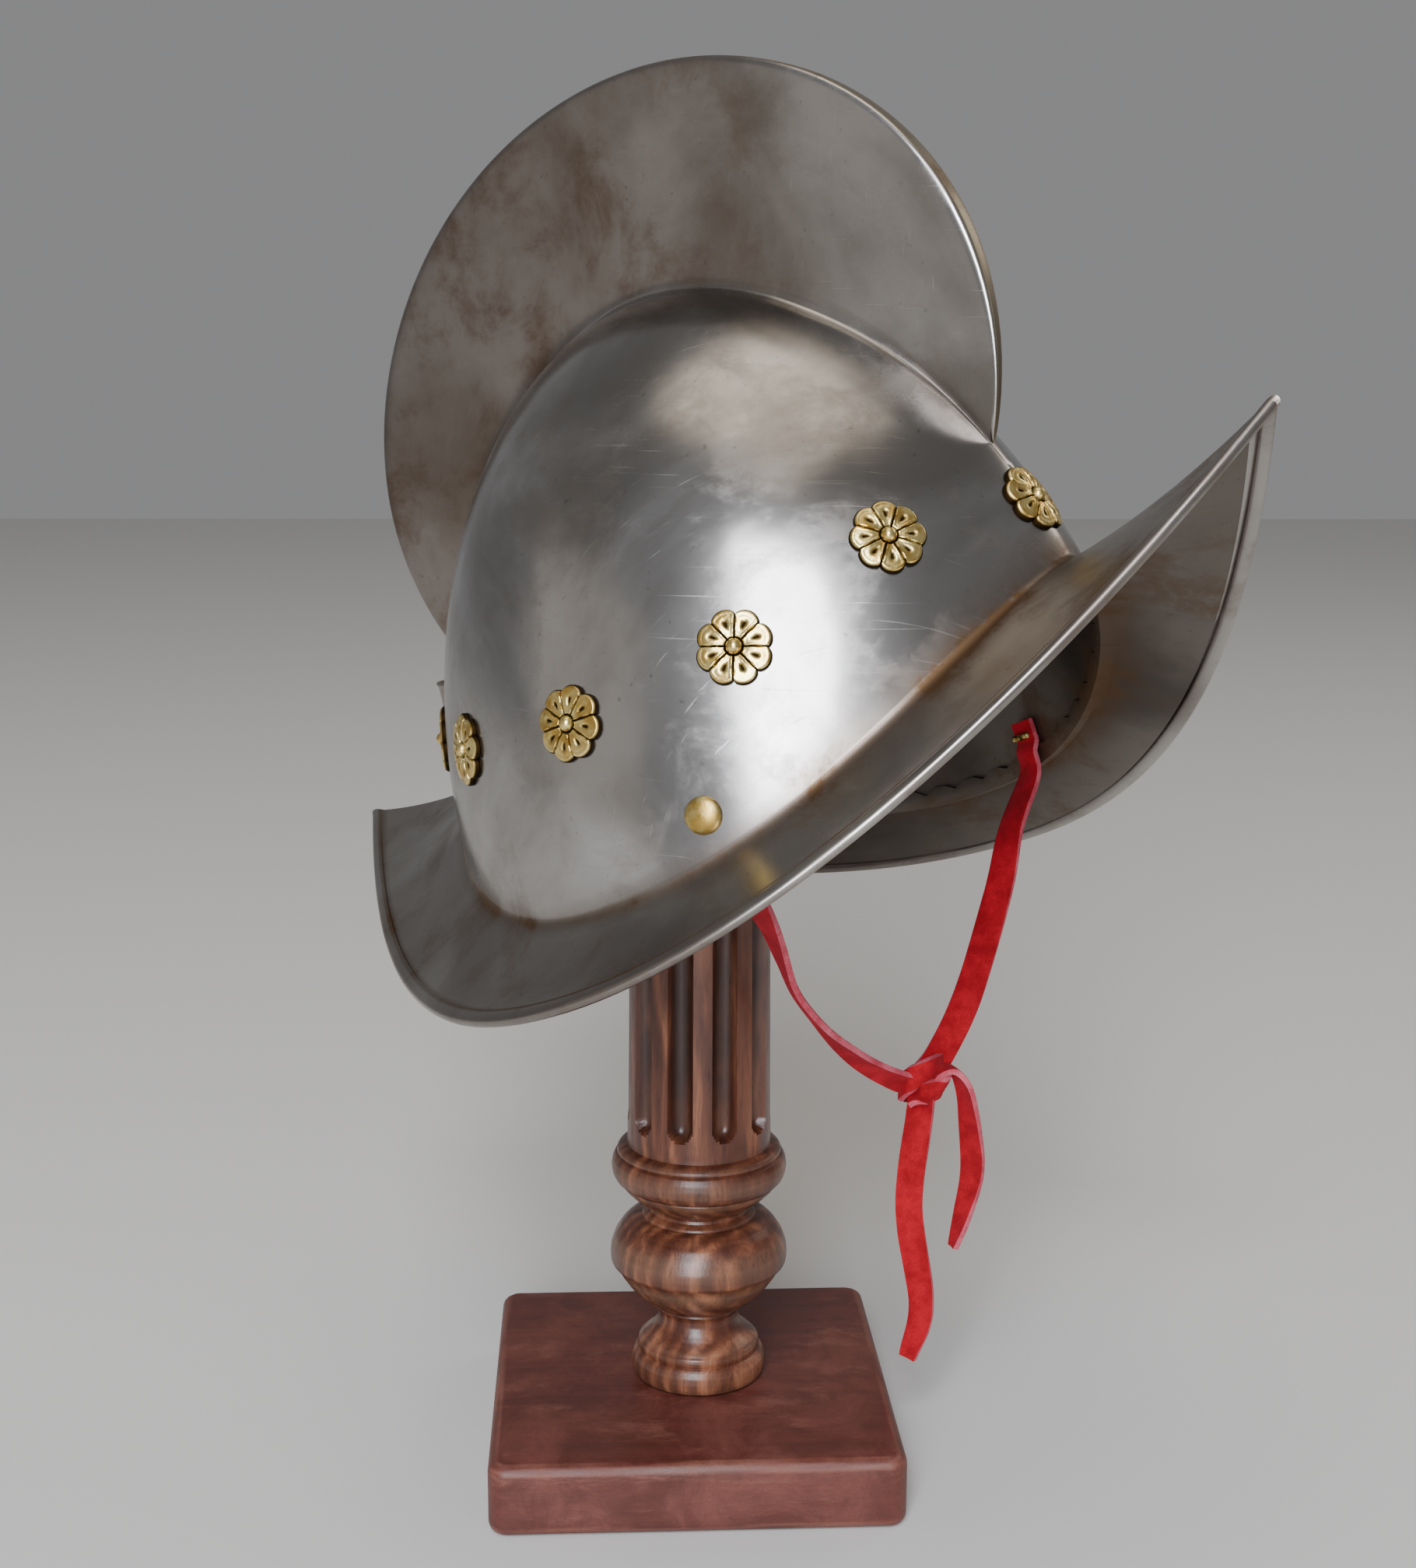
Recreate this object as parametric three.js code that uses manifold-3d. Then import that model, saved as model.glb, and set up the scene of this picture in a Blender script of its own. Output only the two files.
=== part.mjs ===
// A morion helmet that balances on a turned wooden stand, with its suede chin strap tied below.
import * as THREE from "three";
import Module from "manifold-3d";

const wasm = await Module();
wasm.setup();

// Driving dimensions, in millimetres and degrees.
// The helmet has a frame of its own: X to the peak, Y to the wearer's left, Z up to the comb.
const GAP = 0.3; // clearance between pieces that touch
const SHEET = 1.5; // steel of the bowl, comb and brim

// How the helmet sits on its stand.
const HELMET_PLACE = { x: 29.7, y: -5.9, z: 215.9 };
const HELMET_TURN = -40.2;
const HELMET_TILT = 23.3;
const HELMET_LEAN = 0.7;

// The bowl: an almond in plan, whose lower edge rises to the front and the back.
const BOWL = { middle: 5.2, front: 116, back: 126, halfWidth: 99.9, height: 157.9 };
// Powers of the almond's outline.
const BOWL_PLAN = { front: { length: 1.81, width: 1.45 }, back: { length: 1.93, width: 1.33 } };
const BOWL_PROFILE = 1.93; // power of the dome's outline
const BOWL_EDGE = { side: -17.3, front: 37.8, back: 44.5, power: 2.2 };

// The comb: a hollow disc that stands up through the bowl.
const COMB = { halfLength: 122.4, halfHeight: 103.7, centre: 123.4 };
const COMB_RIM = 7.8; // thickness across the rim
const COMB_ROOT = 11.6; // thickness where it meets the bowl
const COMB_END = 2.4; // thickness at its front and back ends
const COMB_TAPER = { from: -32, to: 12 }; // degrees above the comb's centre over which it thins

// The brim: a boat with a point at each end and a folded hem.
const BRIM = { middle: 2.9, front: 185.4, back: 183, halfWidth: 128.1 };
const BRIM_EDGE = { side: -36.8, front: 54.4, back: 45.9 };
const BRIM_PLAN = { front: 1.7, back: 1.92 }; // powers of the edge's outline
const BRIM_RISE = { front: 1.95, back: 2.27 }; // powers of the edge's rise
const BRIM_DISH = 2.4; // how far the brim sags below a straight line
const HEM = { width: 5.2, thickness: 3 };
const FLANGE = 3; // height of the brim's inner edge, turned up inside the bowl

// Brass rosettes: one at the front and pairs back along the sides.
// turn is a share of the half turn from front to back, height a share of the bowl's height.
const ROSETTE = { radius: 10.7, notch: 8.6, petals: 8, plate: 1, dome: 1.6, knob: 2.5, stand: 3.4 };
const ROSETTE_PAIRS = [
  { turn: 0.197, height: 0.343 },
  { turn: 0.333, height: 0.244 },
  { turn: 0.483, height: 0.22 },
  { turn: 0.636, height: 0.261 },
  { turn: 0.785, height: 0.329 },
];
const FRONT_ROSETTE_HEIGHT = 0.344;

// The plume holder: a tapered tube at the back of the bowl, from above the brim to just past the
// level where the comb's rim meets the bowl.
const PLUME = { topRadius: 9.4, footRadius: 6.4, wall: 1, aboveBrim: 3.71, pastComb: 0.43 };

// Strap rivets near the bowl's edge, one each side.
const RIVET = { headRadius: 5, headHeight: 2.4, shank: 1.3, foot: 2.2 };
const RIVET_PLACES = { right: { turn: -70.5, above: 12.5 }, left: { turn: 73.5, above: 9.7 } };

// The suede strap: two straps, the knot that ties them and its two tails.
const STRAP = { width: 10, thickness: 2, drop: 110 }; // drop is from the rivets to the knot
const KNOT = { x: 74, y: -2, z: 122, halfWidth: 10, halfDepth: 7, halfHeight: 10 };
const TAIL_LONG = 96;
const TAIL_SHORT = 62;

// The stand: a square block and a turned, fluted column.
const BLOCK = { side: 127, height: 22.8, corner: 6, edge: 3.5 };
const COLUMN_PLACE = { x: 2.6, y: -0.5 };
const SHAFT = { footRadius: 22.9, topRadius: 21 }; // its top is a half ball
const FLUTES = { count: 10, radius: 3.7, foot: 7, depth: 2.5 }; // foot is above the shaft's own
// The turning under the shaft, from the block up, in shares of its height and of its greatest radius.
const TURNING = { height: 79, radius: 28.4 };
const TURNING_PROFILE = [
  { up: 0, out: 0.75 },
  { up: 0.028, out: 0.79 },
  { up: 0.053, out: 0.75 },
  { up: 0.063, out: 0.69 },
  { up: 0.105, out: 0.65 },
  { up: 0.14, out: 0.53 },
  { up: 0.205, out: 0.445 },
  { up: 0.25, out: 0.46 },
  { up: 0.272, out: 0.51 },
  { up: 0.3, out: 0.5 },
  { up: 0.35, out: 0.77 },
  { up: 0.42, out: 0.96 },
  { up: 0.465, out: 1 },
  { up: 0.51, out: 0.99 },
  { up: 0.57, out: 0.88 },
  { up: 0.62, out: 0.69 },
  { up: 0.65, out: 0.575 },
  { up: 0.69, out: 0.6 },
  { up: 0.74, out: 0.73 },
  { up: 0.76, out: 0.8 },
  { up: 0.84, out: 0.94 },
  { up: 0.9, out: 0.97 },
  { up: 0.95, out: 0.92 },
  { up: 1, out: 0.84 },
];

// Facets.
const AROUND = 56; // round the bowl and the brim
const UP = 8; // from the brim's flange to the crown
const COMB_STEPS = 56;
const TURNED = 24;

const steel = new THREE.MeshStandardMaterial({ color: 0x8b8a88, roughness: 0.32, metalness: 1 });
const brass = new THREE.MeshStandardMaterial({ color: 0xa88647, roughness: 0.4, metalness: 1 });
const suede = new THREE.MeshStandardMaterial({ color: 0xa01420, roughness: 0.95, metalness: 0 });
const turnedWood = new THREE.MeshStandardMaterial({ color: 0x4a2a1d, roughness: 0.4, metalness: 0 });
const paintedWood = new THREE.MeshStandardMaterial({ color: 0x3a1a17, roughness: 0.55, metalness: 0 });

const radians = THREE.MathUtils.degToRad;
const lerp = THREE.MathUtils.lerp;
const vector = (x, y, z) => new THREE.Vector3(x, y, z);
const mean = (points) => points.reduce((sum, p) => sum.add(p), vector(0, 0, 0)).divideScalar(points.length);
const signedPower = (value, power) => Math.sign(value) * Math.abs(value) ** power;

// Solids and meshes.

function solidOf(positions, triangles) {
  return new wasm.Manifold(
    new wasm.Mesh({
      numProp: 3,
      vertProperties: new Float32Array(positions),
      triVerts: new Uint32Array(triangles),
    }),
  );
}

function meshOf(name, solid, material) {
  const made = solid.getMesh();
  const positions = new Float32Array(made.numVert * 3);
  for (let i = 0; i < made.numVert; i++) {
    const start = i * made.numProp;
    positions.set(made.vertProperties.subarray(start, start + 3), i * 3);
  }
  const geometry = new THREE.BufferGeometry();
  geometry.setAttribute("position", new THREE.BufferAttribute(positions, 3));
  geometry.setIndex(new THREE.BufferAttribute(made.triVerts, 1));
  geometry.computeVertexNormals();
  const mesh = new THREE.Mesh(geometry, material);
  mesh.name = name;
  return mesh;
}

// A closed body through rings of points. Each end is closed to a tip, or with no tips the rings go
// round in a loop.
function loft(rings, tips = [mean(rings[0]), mean(rings.at(-1))]) {
  const count = rings[0].length;
  const points = [...rings.flat(), ...(tips ?? [])];
  const triangles = [];
  const spans = tips ? rings.length - 1 : rings.length;
  for (let i = 0; i < spans; i++) {
    const here = i * count;
    const there = ((i + 1) % rings.length) * count;
    for (let j = 0; j < count; j++) {
      const k = (j + 1) % count;
      triangles.push([here + j, here + k, there + k], [here + j, there + k, there + j]);
    }
  }
  if (tips) {
    const last = (rings.length - 1) * count;
    const firstTip = rings.length * count;
    for (let j = 0; j < count; j++) {
      const k = (j + 1) % count;
      triangles.push([k, j, firstTip], [last + j, last + k, firstTip + 1]);
    }
  }
  const positions = points.flatMap((p) => [p.x, p.y, p.z]);
  const solid = solidOf(positions, triangles.flat());
  if (solid.volume() > 0) return solid;
  return solidOf(positions, triangles.flatMap((triangle) => triangle.reverse()));
}

// The bowl's shape. turn runs from 0 at the front to pi at the back, inset goes inwards from the outside.

const bowlEnd = (along) => (along > 0 ? "front" : "back");

function edgeHeight(x) {
  const along = x - BOWL.middle;
  const end = bowlEnd(along);
  const share = Math.abs(along / BOWL[end]) ** BOWL_EDGE.power;
  return lerp(BOWL_EDGE.side, BOWL_EDGE[end], share);
}

function bowlScale(z, inset) {
  const up = THREE.MathUtils.clamp(z / (BOWL.height - inset), 0, 1);
  return (1 - up ** BOWL_PROFILE) ** (1 / BOWL_PROFILE);
}

function bowlPoint(turn, z, inset) {
  const end = bowlEnd(Math.cos(turn));
  const scale = bowlScale(z, inset);
  const along = signedPower(Math.cos(turn), 2 / BOWL_PLAN[end].length);
  const across = signedPower(Math.sin(turn), 2 / BOWL_PLAN[end].width);
  return vector(
    BOWL.middle + (BOWL[end] - inset) * scale * along,
    (BOWL.halfWidth - inset) * scale * across,
    z,
  );
}

// The height of the bowl's lower edge at a turn, found in steps because the plan narrows as it rises.
function edgeHeightAt(turn) {
  let z = 0;
  for (let step = 0; step < 8; step++) z = edgeHeight(bowlPoint(turn, z, 0).x);
  return z;
}

// Above zero outside the bowl's surface taken in by inset, below zero inside it.
function outsideBowl(p, inset) {
  const end = bowlEnd(p.x - BOWL.middle);
  const scale = Math.max(bowlScale(p.z, inset), 1e-3);
  const along = Math.abs((p.x - BOWL.middle) / ((BOWL[end] - inset) * scale));
  const across = Math.abs(p.y / ((BOWL.halfWidth - inset) * scale));
  return along ** BOWL_PLAN[end].length + across ** BOWL_PLAN[end].width - 1;
}

// Turns at even steps of length along a curve from the front to the back, then back on the other side.
function evenTurns(pointAt) {
  const fine = 400;
  const half = AROUND / 2;
  const lengths = [0];
  for (let i = 1; i <= fine; i++) {
    const step = pointAt((i * Math.PI) / fine).distanceTo(pointAt(((i - 1) * Math.PI) / fine));
    lengths.push(lengths[i - 1] + step);
  }
  const side = Array.from({ length: half + 1 }, (_, k) => {
    const wanted = (lengths[fine] * k) / half;
    const i = Math.max(1, lengths.findIndex((length) => length >= wanted - 1e-9));
    const share = (wanted - lengths[i - 1]) / (lengths[i] - lengths[i - 1]);
    return ((i - 1 + share) * Math.PI) / fine;
  });
  return [...side, ...side.slice(1, half).reverse().map((turn) => -turn)];
}

const seatTurns = evenTurns((turn) => bowlPoint(turn, edgeHeightAt(turn), 0));

// Rings of the bowl from its edge to near its crown, closer together towards the crown. The second
// ring is level with the top of the brim's flange.
function bowlRings(inset) {
  const shares = Array.from({ length: UP }, (_, i) => Math.sin((((i + 1) / (UP + 1)) * Math.PI) / 2));
  const ring = (heightAbove) => seatTurns.map((turn) => bowlPoint(turn, heightAbove(edgeHeightAt(turn)), inset));
  return [
    ring((edge) => edge),
    ring((edge) => edge + FLANGE),
    ...shares.map((share) => ring((edge) => lerp(edge, BOWL.height - inset, share))),
  ];
}

const crown = (inset) => vector(BOWL.middle, 0, BOWL.height - inset);

function bowlShell() {
  return loft([...bowlRings(0).reverse(), ...bowlRings(SHEET)], [crown(0), crown(SHEET)]);
}

// All that lies inside the bowl and below it.
function bowlHollow() {
  const inner = bowlRings(SHEET);
  const below = inner[0].map((p) => p.clone().setZ(p.z - BOWL.halfWidth));
  return loft([below, ...inner], [mean(below), crown(SHEET)]);
}

// The comb as a disc whose rim and root have their own thickness, taken in by trim on every side.
function combDisc(trim) {
  const rows = [
    { reach: 0.55, side: -1, thickness: COMB_ROOT },
    { reach: 1, side: -1, thickness: COMB_RIM },
    { reach: 1, side: 1, thickness: COMB_RIM },
    { reach: 0.55, side: 1, thickness: COMB_ROOT },
  ];
  const rings = rows.map((row) =>
    Array.from({ length: COMB_STEPS }, (_, i) => {
      const angle = (i * 2 * Math.PI) / COMB_STEPS;
      const above = THREE.MathUtils.radToDeg(Math.asin(Math.sin(angle)));
      const full = THREE.MathUtils.smoothstep(above, COMB_TAPER.from, COMB_TAPER.to);
      const half = lerp(COMB_END, row.thickness, full) / 2;
      return vector(
        (COMB.halfLength - trim) * row.reach * Math.cos(angle),
        row.side * Math.max(half - trim, half / 3),
        COMB.centre + (COMB.halfHeight - trim) * row.reach * Math.sin(angle),
      );
    }),
  );
  return loft(rings);
}

function skull() {
  const comb = combDisc(0).subtract(bowlHollow());
  let shell = bowlShell().add(comb).subtract(combDisc(SHEET));
  for (const place of Object.values(RIVET_PLACES)) {
    shell = shell.subtract(rod(rivetFrame(place), RIVET.shank + GAP, -3 * SHEET, 3 * SHEET));
  }
  return shell;
}

// A frame on the bowl: a point, the outward normal, and the directions along and up the surface.
function surfaceFrame(turn, z) {
  const point = bowlPoint(turn, z, 0);
  const step = 0.05;
  const slope = (axis) => {
    const ahead = point.clone();
    const behind = point.clone();
    ahead[axis] += step;
    behind[axis] -= step;
    return outsideBowl(ahead, 0) - outsideBowl(behind, 0);
  };
  const out = vector(slope("x"), slope("y"), slope("z")).normalize();
  const along = vector(0, 0, 1).cross(out).normalize();
  return { point, out, along, up: out.clone().cross(along) };
}

const onFrame = (frame, a, b, h) =>
  frame.point
    .clone()
    .addScaledVector(frame.along, a)
    .addScaledVector(frame.up, b)
    .addScaledVector(frame.out, h);

// The same, with h measured from the bowl's curved surface.
function onBowl(frame, a, b, h) {
  let near = -4;
  let far = 30;
  for (let step = 0; step < 24; step++) {
    const middle = (near + far) / 2;
    if (outsideBowl(onFrame(frame, a, b, -middle), 0) > 0) near = middle;
    else far = middle;
  }
  return onFrame(frame, a, b, h - near);
}

const circle = (count, radius, place) =>
  Array.from({ length: count }, (_, i) => {
    const angle = (i * 2 * Math.PI) / count;
    return place(radius * Math.cos(angle), radius * Math.sin(angle), i);
  });

// A round rod along a frame's normal.
function rod(frame, radius, from, to) {
  return loft([from, to].map((h) => circle(10, radius, (a, b) => onFrame(frame, a, b, h))));
}

function rivetFrame(place) {
  const turn = radians(place.turn);
  return surfaceFrame(turn, edgeHeightAt(turn) + place.above);
}

// The brim: its edge runs from the peak round to the back, matched to the bowl's edge by length.

function brimEdgePoint(turn) {
  const along = Math.cos(turn);
  const end = bowlEnd(along);
  const reach = Math.abs(along);
  return vector(
    BRIM.middle + BRIM[end] * along,
    Math.sign(Math.sin(turn)) * BRIM.halfWidth * (1 - reach ** BRIM_PLAN[end]),
    lerp(BRIM_EDGE.side, BRIM_EDGE[end], reach ** BRIM_RISE[end]),
  );
}

function brim() {
  const edges = evenTurns(brimEdgePoint);
  const crosswise = [0, 0.14, 0.4, 0.7];
  // The top of the brim at a share of the way from the bowl to the hem's inner line, and at the edge.
  const top = (k, share) => {
    const turn = seatTurns[k];
    const from = bowlPoint(turn, edgeHeightAt(turn), 0).add(vector(0, 0, -GAP));
    const to = brimEdgePoint(edges[k]);
    const point = from.clone().lerp(to, share);
    point.z -= BRIM_DISH * 4 * share * (1 - share);
    return point;
  };
  const normal = (k, share) => {
    const ahead = top((k + 1) % AROUND, share);
    const behind = top((k + AROUND - 1) % AROUND, share);
    const outward = top(k, 1).sub(top(k, 0));
    return outward.cross(ahead.sub(behind)).normalize();
  };
  const below = (k, share, depth) => top(k, share).addScaledVector(normal(k, share), -depth);
  const sections = seatTurns.map((turn, k) => {
    const hemShare = 1 - HEM.width / top(k, 0).distanceTo(top(k, 1));
    const edge = edgeHeightAt(turn);
    const flange = (height, inset) => bowlPoint(turn, edge + height, inset);
    const outerFlange = SHEET + GAP;
    const innerFlange = outerFlange + SHEET;
    return [
      flange(FLANGE, outerFlange),
      flange(-GAP, outerFlange).setZ(edge - GAP),
      ...crosswise.map((share) => top(k, share)),
      top(k, 1),
      below(k, 1, HEM.thickness),
      below(k, hemShare, HEM.thickness),
      below(k, hemShare, SHEET),
      ...crosswise.slice(1).reverse().map((share) => below(k, share, SHEET)),
      flange(-SHEET, innerFlange).setZ(edge - GAP - SHEET),
      flange(FLANGE, innerFlange),
    ];
  });
  return loft(sections, null);
}

// Rosettes: a petalled plate bent to the bowl, with a round knob.
function rosette(turn, z) {
  const frame = surfaceFrame(turn, z);
  const points = 2 * ROSETTE.petals;
  const outline = (share, h) =>
    circle(points, 1, (a, b, i) => {
      const radius = share * (i % 2 ? ROSETTE.notch : ROSETTE.radius);
      return onBowl(frame, a * radius, b * radius, GAP + h);
    });
  const round = (radius, h) => circle(points, radius, (a, b) => onBowl(frame, a, b, GAP + h));
  const tips = [0, ROSETTE.stand].map((h) => onBowl(frame, 0, 0, GAP + h));
  return loft(
    [
      outline(0.5, 0),
      outline(1, 0),
      outline(1, ROSETTE.plate),
      outline(0.7, ROSETTE.dome),
      round(ROSETTE.knob, ROSETTE.plate),
      round(ROSETTE.knob * 0.8, ROSETTE.stand - 0.6),
      round(ROSETTE.knob * 0.4, ROSETTE.stand),
    ],
    tips,
  );
}

// The height at which the comb's rim meets the back of the bowl.
function combFootHeight() {
  let low = edgeHeightAt(Math.PI);
  let high = BOWL.height;
  for (let step = 0; step < 24; step++) {
    const middle = (low + high) / 2;
    const { x, z } = bowlPoint(Math.PI, middle, 0);
    if (Math.hypot(x / COMB.halfLength, (z - COMB.centre) / COMB.halfHeight) < 1) high = middle;
    else low = middle;
  }
  return low;
}

// The plume holder: an open tapered tube, closed at its foot, that lies against the bowl.
function plumeHolder() {
  const foot = edgeHeightAt(Math.PI) + PLUME.aboveBrim;
  const top = combFootHeight() + PLUME.pastComb;
  const frame = surfaceFrame(Math.PI, (foot + top) / 2);
  const length = (top - foot) / frame.up.z;
  const half = length / 2;
  const floor = 2 * PLUME.wall;
  const ring = (b, wall) => {
    const radius = lerp(PLUME.footRadius, PLUME.topRadius, (b + half) / length);
    return circle(16, radius - wall, (a, h) => onFrame(frame, a, b, GAP + radius + h));
  };
  const tube = loft([ring(-half, 0), ring(half, 0)]);
  return tube.subtract(loft([ring(floor - half, PLUME.wall), ring(half + floor, PLUME.wall)]));
}

// A strap rivet: a domed head outside, a shank through the wall and a foot inside that holds the strap.
function strapRivet(place) {
  const frame = rivetFrame(place);
  const ring = (radius, h) => circle(14, radius, (a, b) => onFrame(frame, a, b, h));
  const seat = 2 * GAP;
  const foot = -(SHEET + 4 * GAP + STRAP.thickness);
  return loft([
    ring(RIVET.foot, foot - SHEET),
    ring(RIVET.foot, foot),
    ring(RIVET.shank, foot),
    ring(RIVET.shank, seat),
    ring(RIVET.headRadius, seat),
    ring(RIVET.headRadius * 0.92, seat + RIVET.headHeight * 0.5),
    ring(RIVET.headRadius * 0.5, seat + RIVET.headHeight),
  ]);
}

// A flat strap along a curve. faces gives the direction of its width at each chosen point.
function ribbon(points, faces, steps) {
  const path = new THREE.CatmullRomCurve3(points, false, "centripetal");
  const widths = new THREE.CatmullRomCurve3(faces, false, "centripetal");
  const sections = Array.from({ length: steps + 1 }, (_, i) => {
    const share = i / steps;
    const at = path.getPoint(share);
    const tangent = path.getTangent(share);
    const across = widths.getPoint(share);
    across.addScaledVector(tangent, -across.dot(tangent)).normalize();
    const through = tangent.clone().cross(across);
    const corner = (a, b) =>
      at
        .clone()
        .addScaledVector(across, (a * STRAP.width) / 2)
        .addScaledVector(through, (b * STRAP.thickness) / 2);
    return [corner(-1, -1), corner(1, -1), corner(1, 1), corner(-1, 1)];
  });
  return loft(sections);
}

// The group and its pieces.

const object = new THREE.Group();
const helmet = new THREE.Group();
helmet.position.set(HELMET_PLACE.x, HELMET_PLACE.y, HELMET_PLACE.z);
helmet.rotation.set(radians(HELMET_LEAN), -radians(HELMET_TILT), radians(HELMET_TURN), "ZYX");
object.add(helmet);
helmet.updateMatrixWorld(true);

helmet.add(meshOf("bowl_and_comb", skull(), steel));
helmet.add(meshOf("brim", brim(), steel));
helmet.add(meshOf("rosette_front", rosette(0, FRONT_ROSETTE_HEIGHT * BOWL.height), brass));
ROSETTE_PAIRS.forEach((pair, i) => {
  for (const [name, side] of [["right", -1], ["left", 1]]) {
    const made = rosette(side * pair.turn * Math.PI, pair.height * BOWL.height);
    helmet.add(meshOf("rosette_" + name + "_" + (i + 1), made, brass));
  }
});
helmet.add(meshOf("plume_holder", plumeHolder(), steel));
helmet.add(meshOf("strap_rivet_right", strapRivet(RIVET_PLACES.right), brass));
helmet.add(meshOf("strap_rivet_left", strapRivet(RIVET_PLACES.left), brass));

// The strap hangs in the object's own frame, from the rivets to the knot.

const knotCentre = vector(KNOT.x, KNOT.y, KNOT.z);

function knot(clearance) {
  const shape = (lean, turn) =>
    vector(
      KNOT.x + (KNOT.halfWidth + clearance) * Math.cos(lean) * Math.cos(turn),
      KNOT.y + (KNOT.halfDepth + clearance) * Math.cos(lean) * Math.sin(turn),
      KNOT.z + (KNOT.halfHeight + clearance) * Math.sin(lean),
    );
  const leans = [-66, -44, -22, 0, 22, 44, 66].map(radians);
  const rings = leans.map((lean) => circle(14, 1, (a, b) => shape(lean, Math.atan2(b, a))));
  return loft(rings, [shape(-Math.PI / 2, 0), shape(Math.PI / 2, 0)]);
}

// From a rivet inside the bowl, past the brim's inner edge and down to the knot.
function strapFrom(place, bends) {
  const frame = rivetFrame(place);
  const depth = -(SHEET + 3 * GAP + STRAP.thickness / 2);
  const clearOfFlange = depth - SHEET - 1.5 * GAP;
  const inBowl = (b, h) => helmet.localToWorld(onFrame(frame, 0, b, h));
  const pinned = [STRAP.width / 2, 0, -RIVET.foot].map((b) => inBowl(b, depth));
  const over = inBowl(FLANGE + SHEET - place.above, clearOfFlange);
  const under = inBowl(-FLANGE - place.above, clearOfFlange - STRAP.thickness);
  const along = frame.along.clone().transformDirection(helmet.matrixWorld);
  const points = [...pinned, over, under, ...bends.map((bend) => bend.at), knotCentre];
  const faces = [...pinned, over, under].map(() => along);
  faces.push(...bends.map((bend) => bend.face), bends.at(-1).face);
  const shank = rod(frame, RIVET.shank + GAP, -5 * SHEET, 2 * SHEET);
  return ribbon(points, faces, 24).subtract(shank.transform(helmet.matrixWorld.elements)).subtract(knot(GAP));
}

// Where the straps bend on their way, from the knot in shares of the drop, and which way their
// width lies there.
const fromKnot = (x, y, z) => knotCentre.clone().add(vector(x, y, z));
const bend = (x, y, z) => fromKnot(x * STRAP.drop, y * STRAP.drop, z * STRAP.drop);
const rightBends = [
  { at: bend(-0.491, -0.491, 0.591), face: vector(0.7, -0.5, 0.5) },
  { at: bend(-0.391, -0.327, 0.345), face: vector(0.5, -0.8, 0.2) },
  { at: bend(-0.218, -0.127, 0.118), face: vector(0.3, -0.9, -0.3) },
];
const leftBends = [
  { at: bend(0.245, 0.209, 0.509), face: vector(-1, 0.3, -0.3) },
  { at: bend(0.145, 0.1, 0.227), face: vector(-1, 0.3, 0) },
];
object.add(meshOf("chin_strap_right", strapFrom(RIVET_PLACES.right, rightBends), suede));
object.add(meshOf("chin_strap_left", strapFrom(RIVET_PLACES.left, leftBends), suede));
object.add(meshOf("strap_knot", knot(0), suede));

// A loose tail from the knot, its bends in shares of its length.
function tail(length, bends, face) {
  const points = bends.map((bend) => fromKnot(bend.x * length, bend.y * length, -bend.down * length));
  return ribbon([knotCentre, ...points], bends.map(() => face).concat(face), 16).subtract(knot(GAP));
}

const LONG_BENDS = [
  { x: -0.02, y: 0.02, down: 0.14 },
  { x: -0.03, y: 0.02, down: 0.45 },
  { x: 0.02, y: 0.02, down: 0.8 },
  { x: -0.02, y: 0.02, down: 1 },
];
const SHORT_BENDS = [
  { x: 0.24, y: -0.03, down: 0.01 },
  { x: 0.3, y: -0.02, down: 0.22 },
  { x: 0.27, y: 0.02, down: 0.6 },
  { x: 0.25, y: 0.02, down: 0.95 },
];
object.add(meshOf("strap_tail_long", tail(TAIL_LONG, LONG_BENDS, vector(1, -0.25, 0)), suede));
object.add(meshOf("strap_tail_short", tail(TAIL_SHORT, SHORT_BENDS, vector(0.3, -1, 0)), suede));

// The stand.

// A square with rounded corners, taken in by an amount, at a height.
function roundedSquare(inset, z) {
  const reach = BLOCK.side / 2 - BLOCK.corner;
  const radius = BLOCK.corner - inset;
  return [0, 1, 2, 3].flatMap((quarter) =>
    [0, 1, 2, 3].map((step) => {
      const middle = radians(quarter * 90 + 45);
      const angle = radians(quarter * 90 + step * 30);
      return vector(
        reach * Math.sign(Math.cos(middle)) + radius * Math.cos(angle),
        reach * Math.sign(Math.sin(middle)) + radius * Math.sin(angle),
        z,
      );
    }),
  );
}

function block() {
  const softened = BLOCK.edge * 0.3;
  return loft([
    roundedSquare(BLOCK.edge, 0),
    roundedSquare(softened, softened),
    roundedSquare(0, BLOCK.edge),
    roundedSquare(0, BLOCK.height - BLOCK.edge),
    roundedSquare(softened, BLOCK.height - softened),
    roundedSquare(BLOCK.edge, BLOCK.height),
  ]);
}

const ringAt = (radius, z) => circle(TURNED, radius, (x, y) => vector(x, y, z));

// The shaft's round top as rings round a centre at height z, from its equator up.
function topRings(radius, z) {
  return [0, 22.5, 45, 67.5].map(radians).map((lean) => ringAt(radius * Math.cos(lean), z + radius * Math.sin(lean)));
}

// How high the centre of the column's round top can go before it comes up against the bowl.
function columnCentre() {
  const hollow = bowlHollow().transform(helmet.matrixWorld.elements);
  const radius = SHAFT.topRadius + GAP;
  const top = loft(topRings(radius, 0), [vector(0, 0, 0), vector(0, 0, radius)]);
  const meets = (z) => top.translate([COLUMN_PLACE.x, COLUMN_PLACE.y, z]).subtract(hollow).volume() > 0;
  let low = HELMET_PLACE.z;
  let high = HELMET_PLACE.z + BOWL.height;
  for (let step = 0; step < 14; step++) {
    const middle = (low + high) / 2;
    if (meets(middle)) high = middle;
    else low = middle;
  }
  return low;
}

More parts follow.
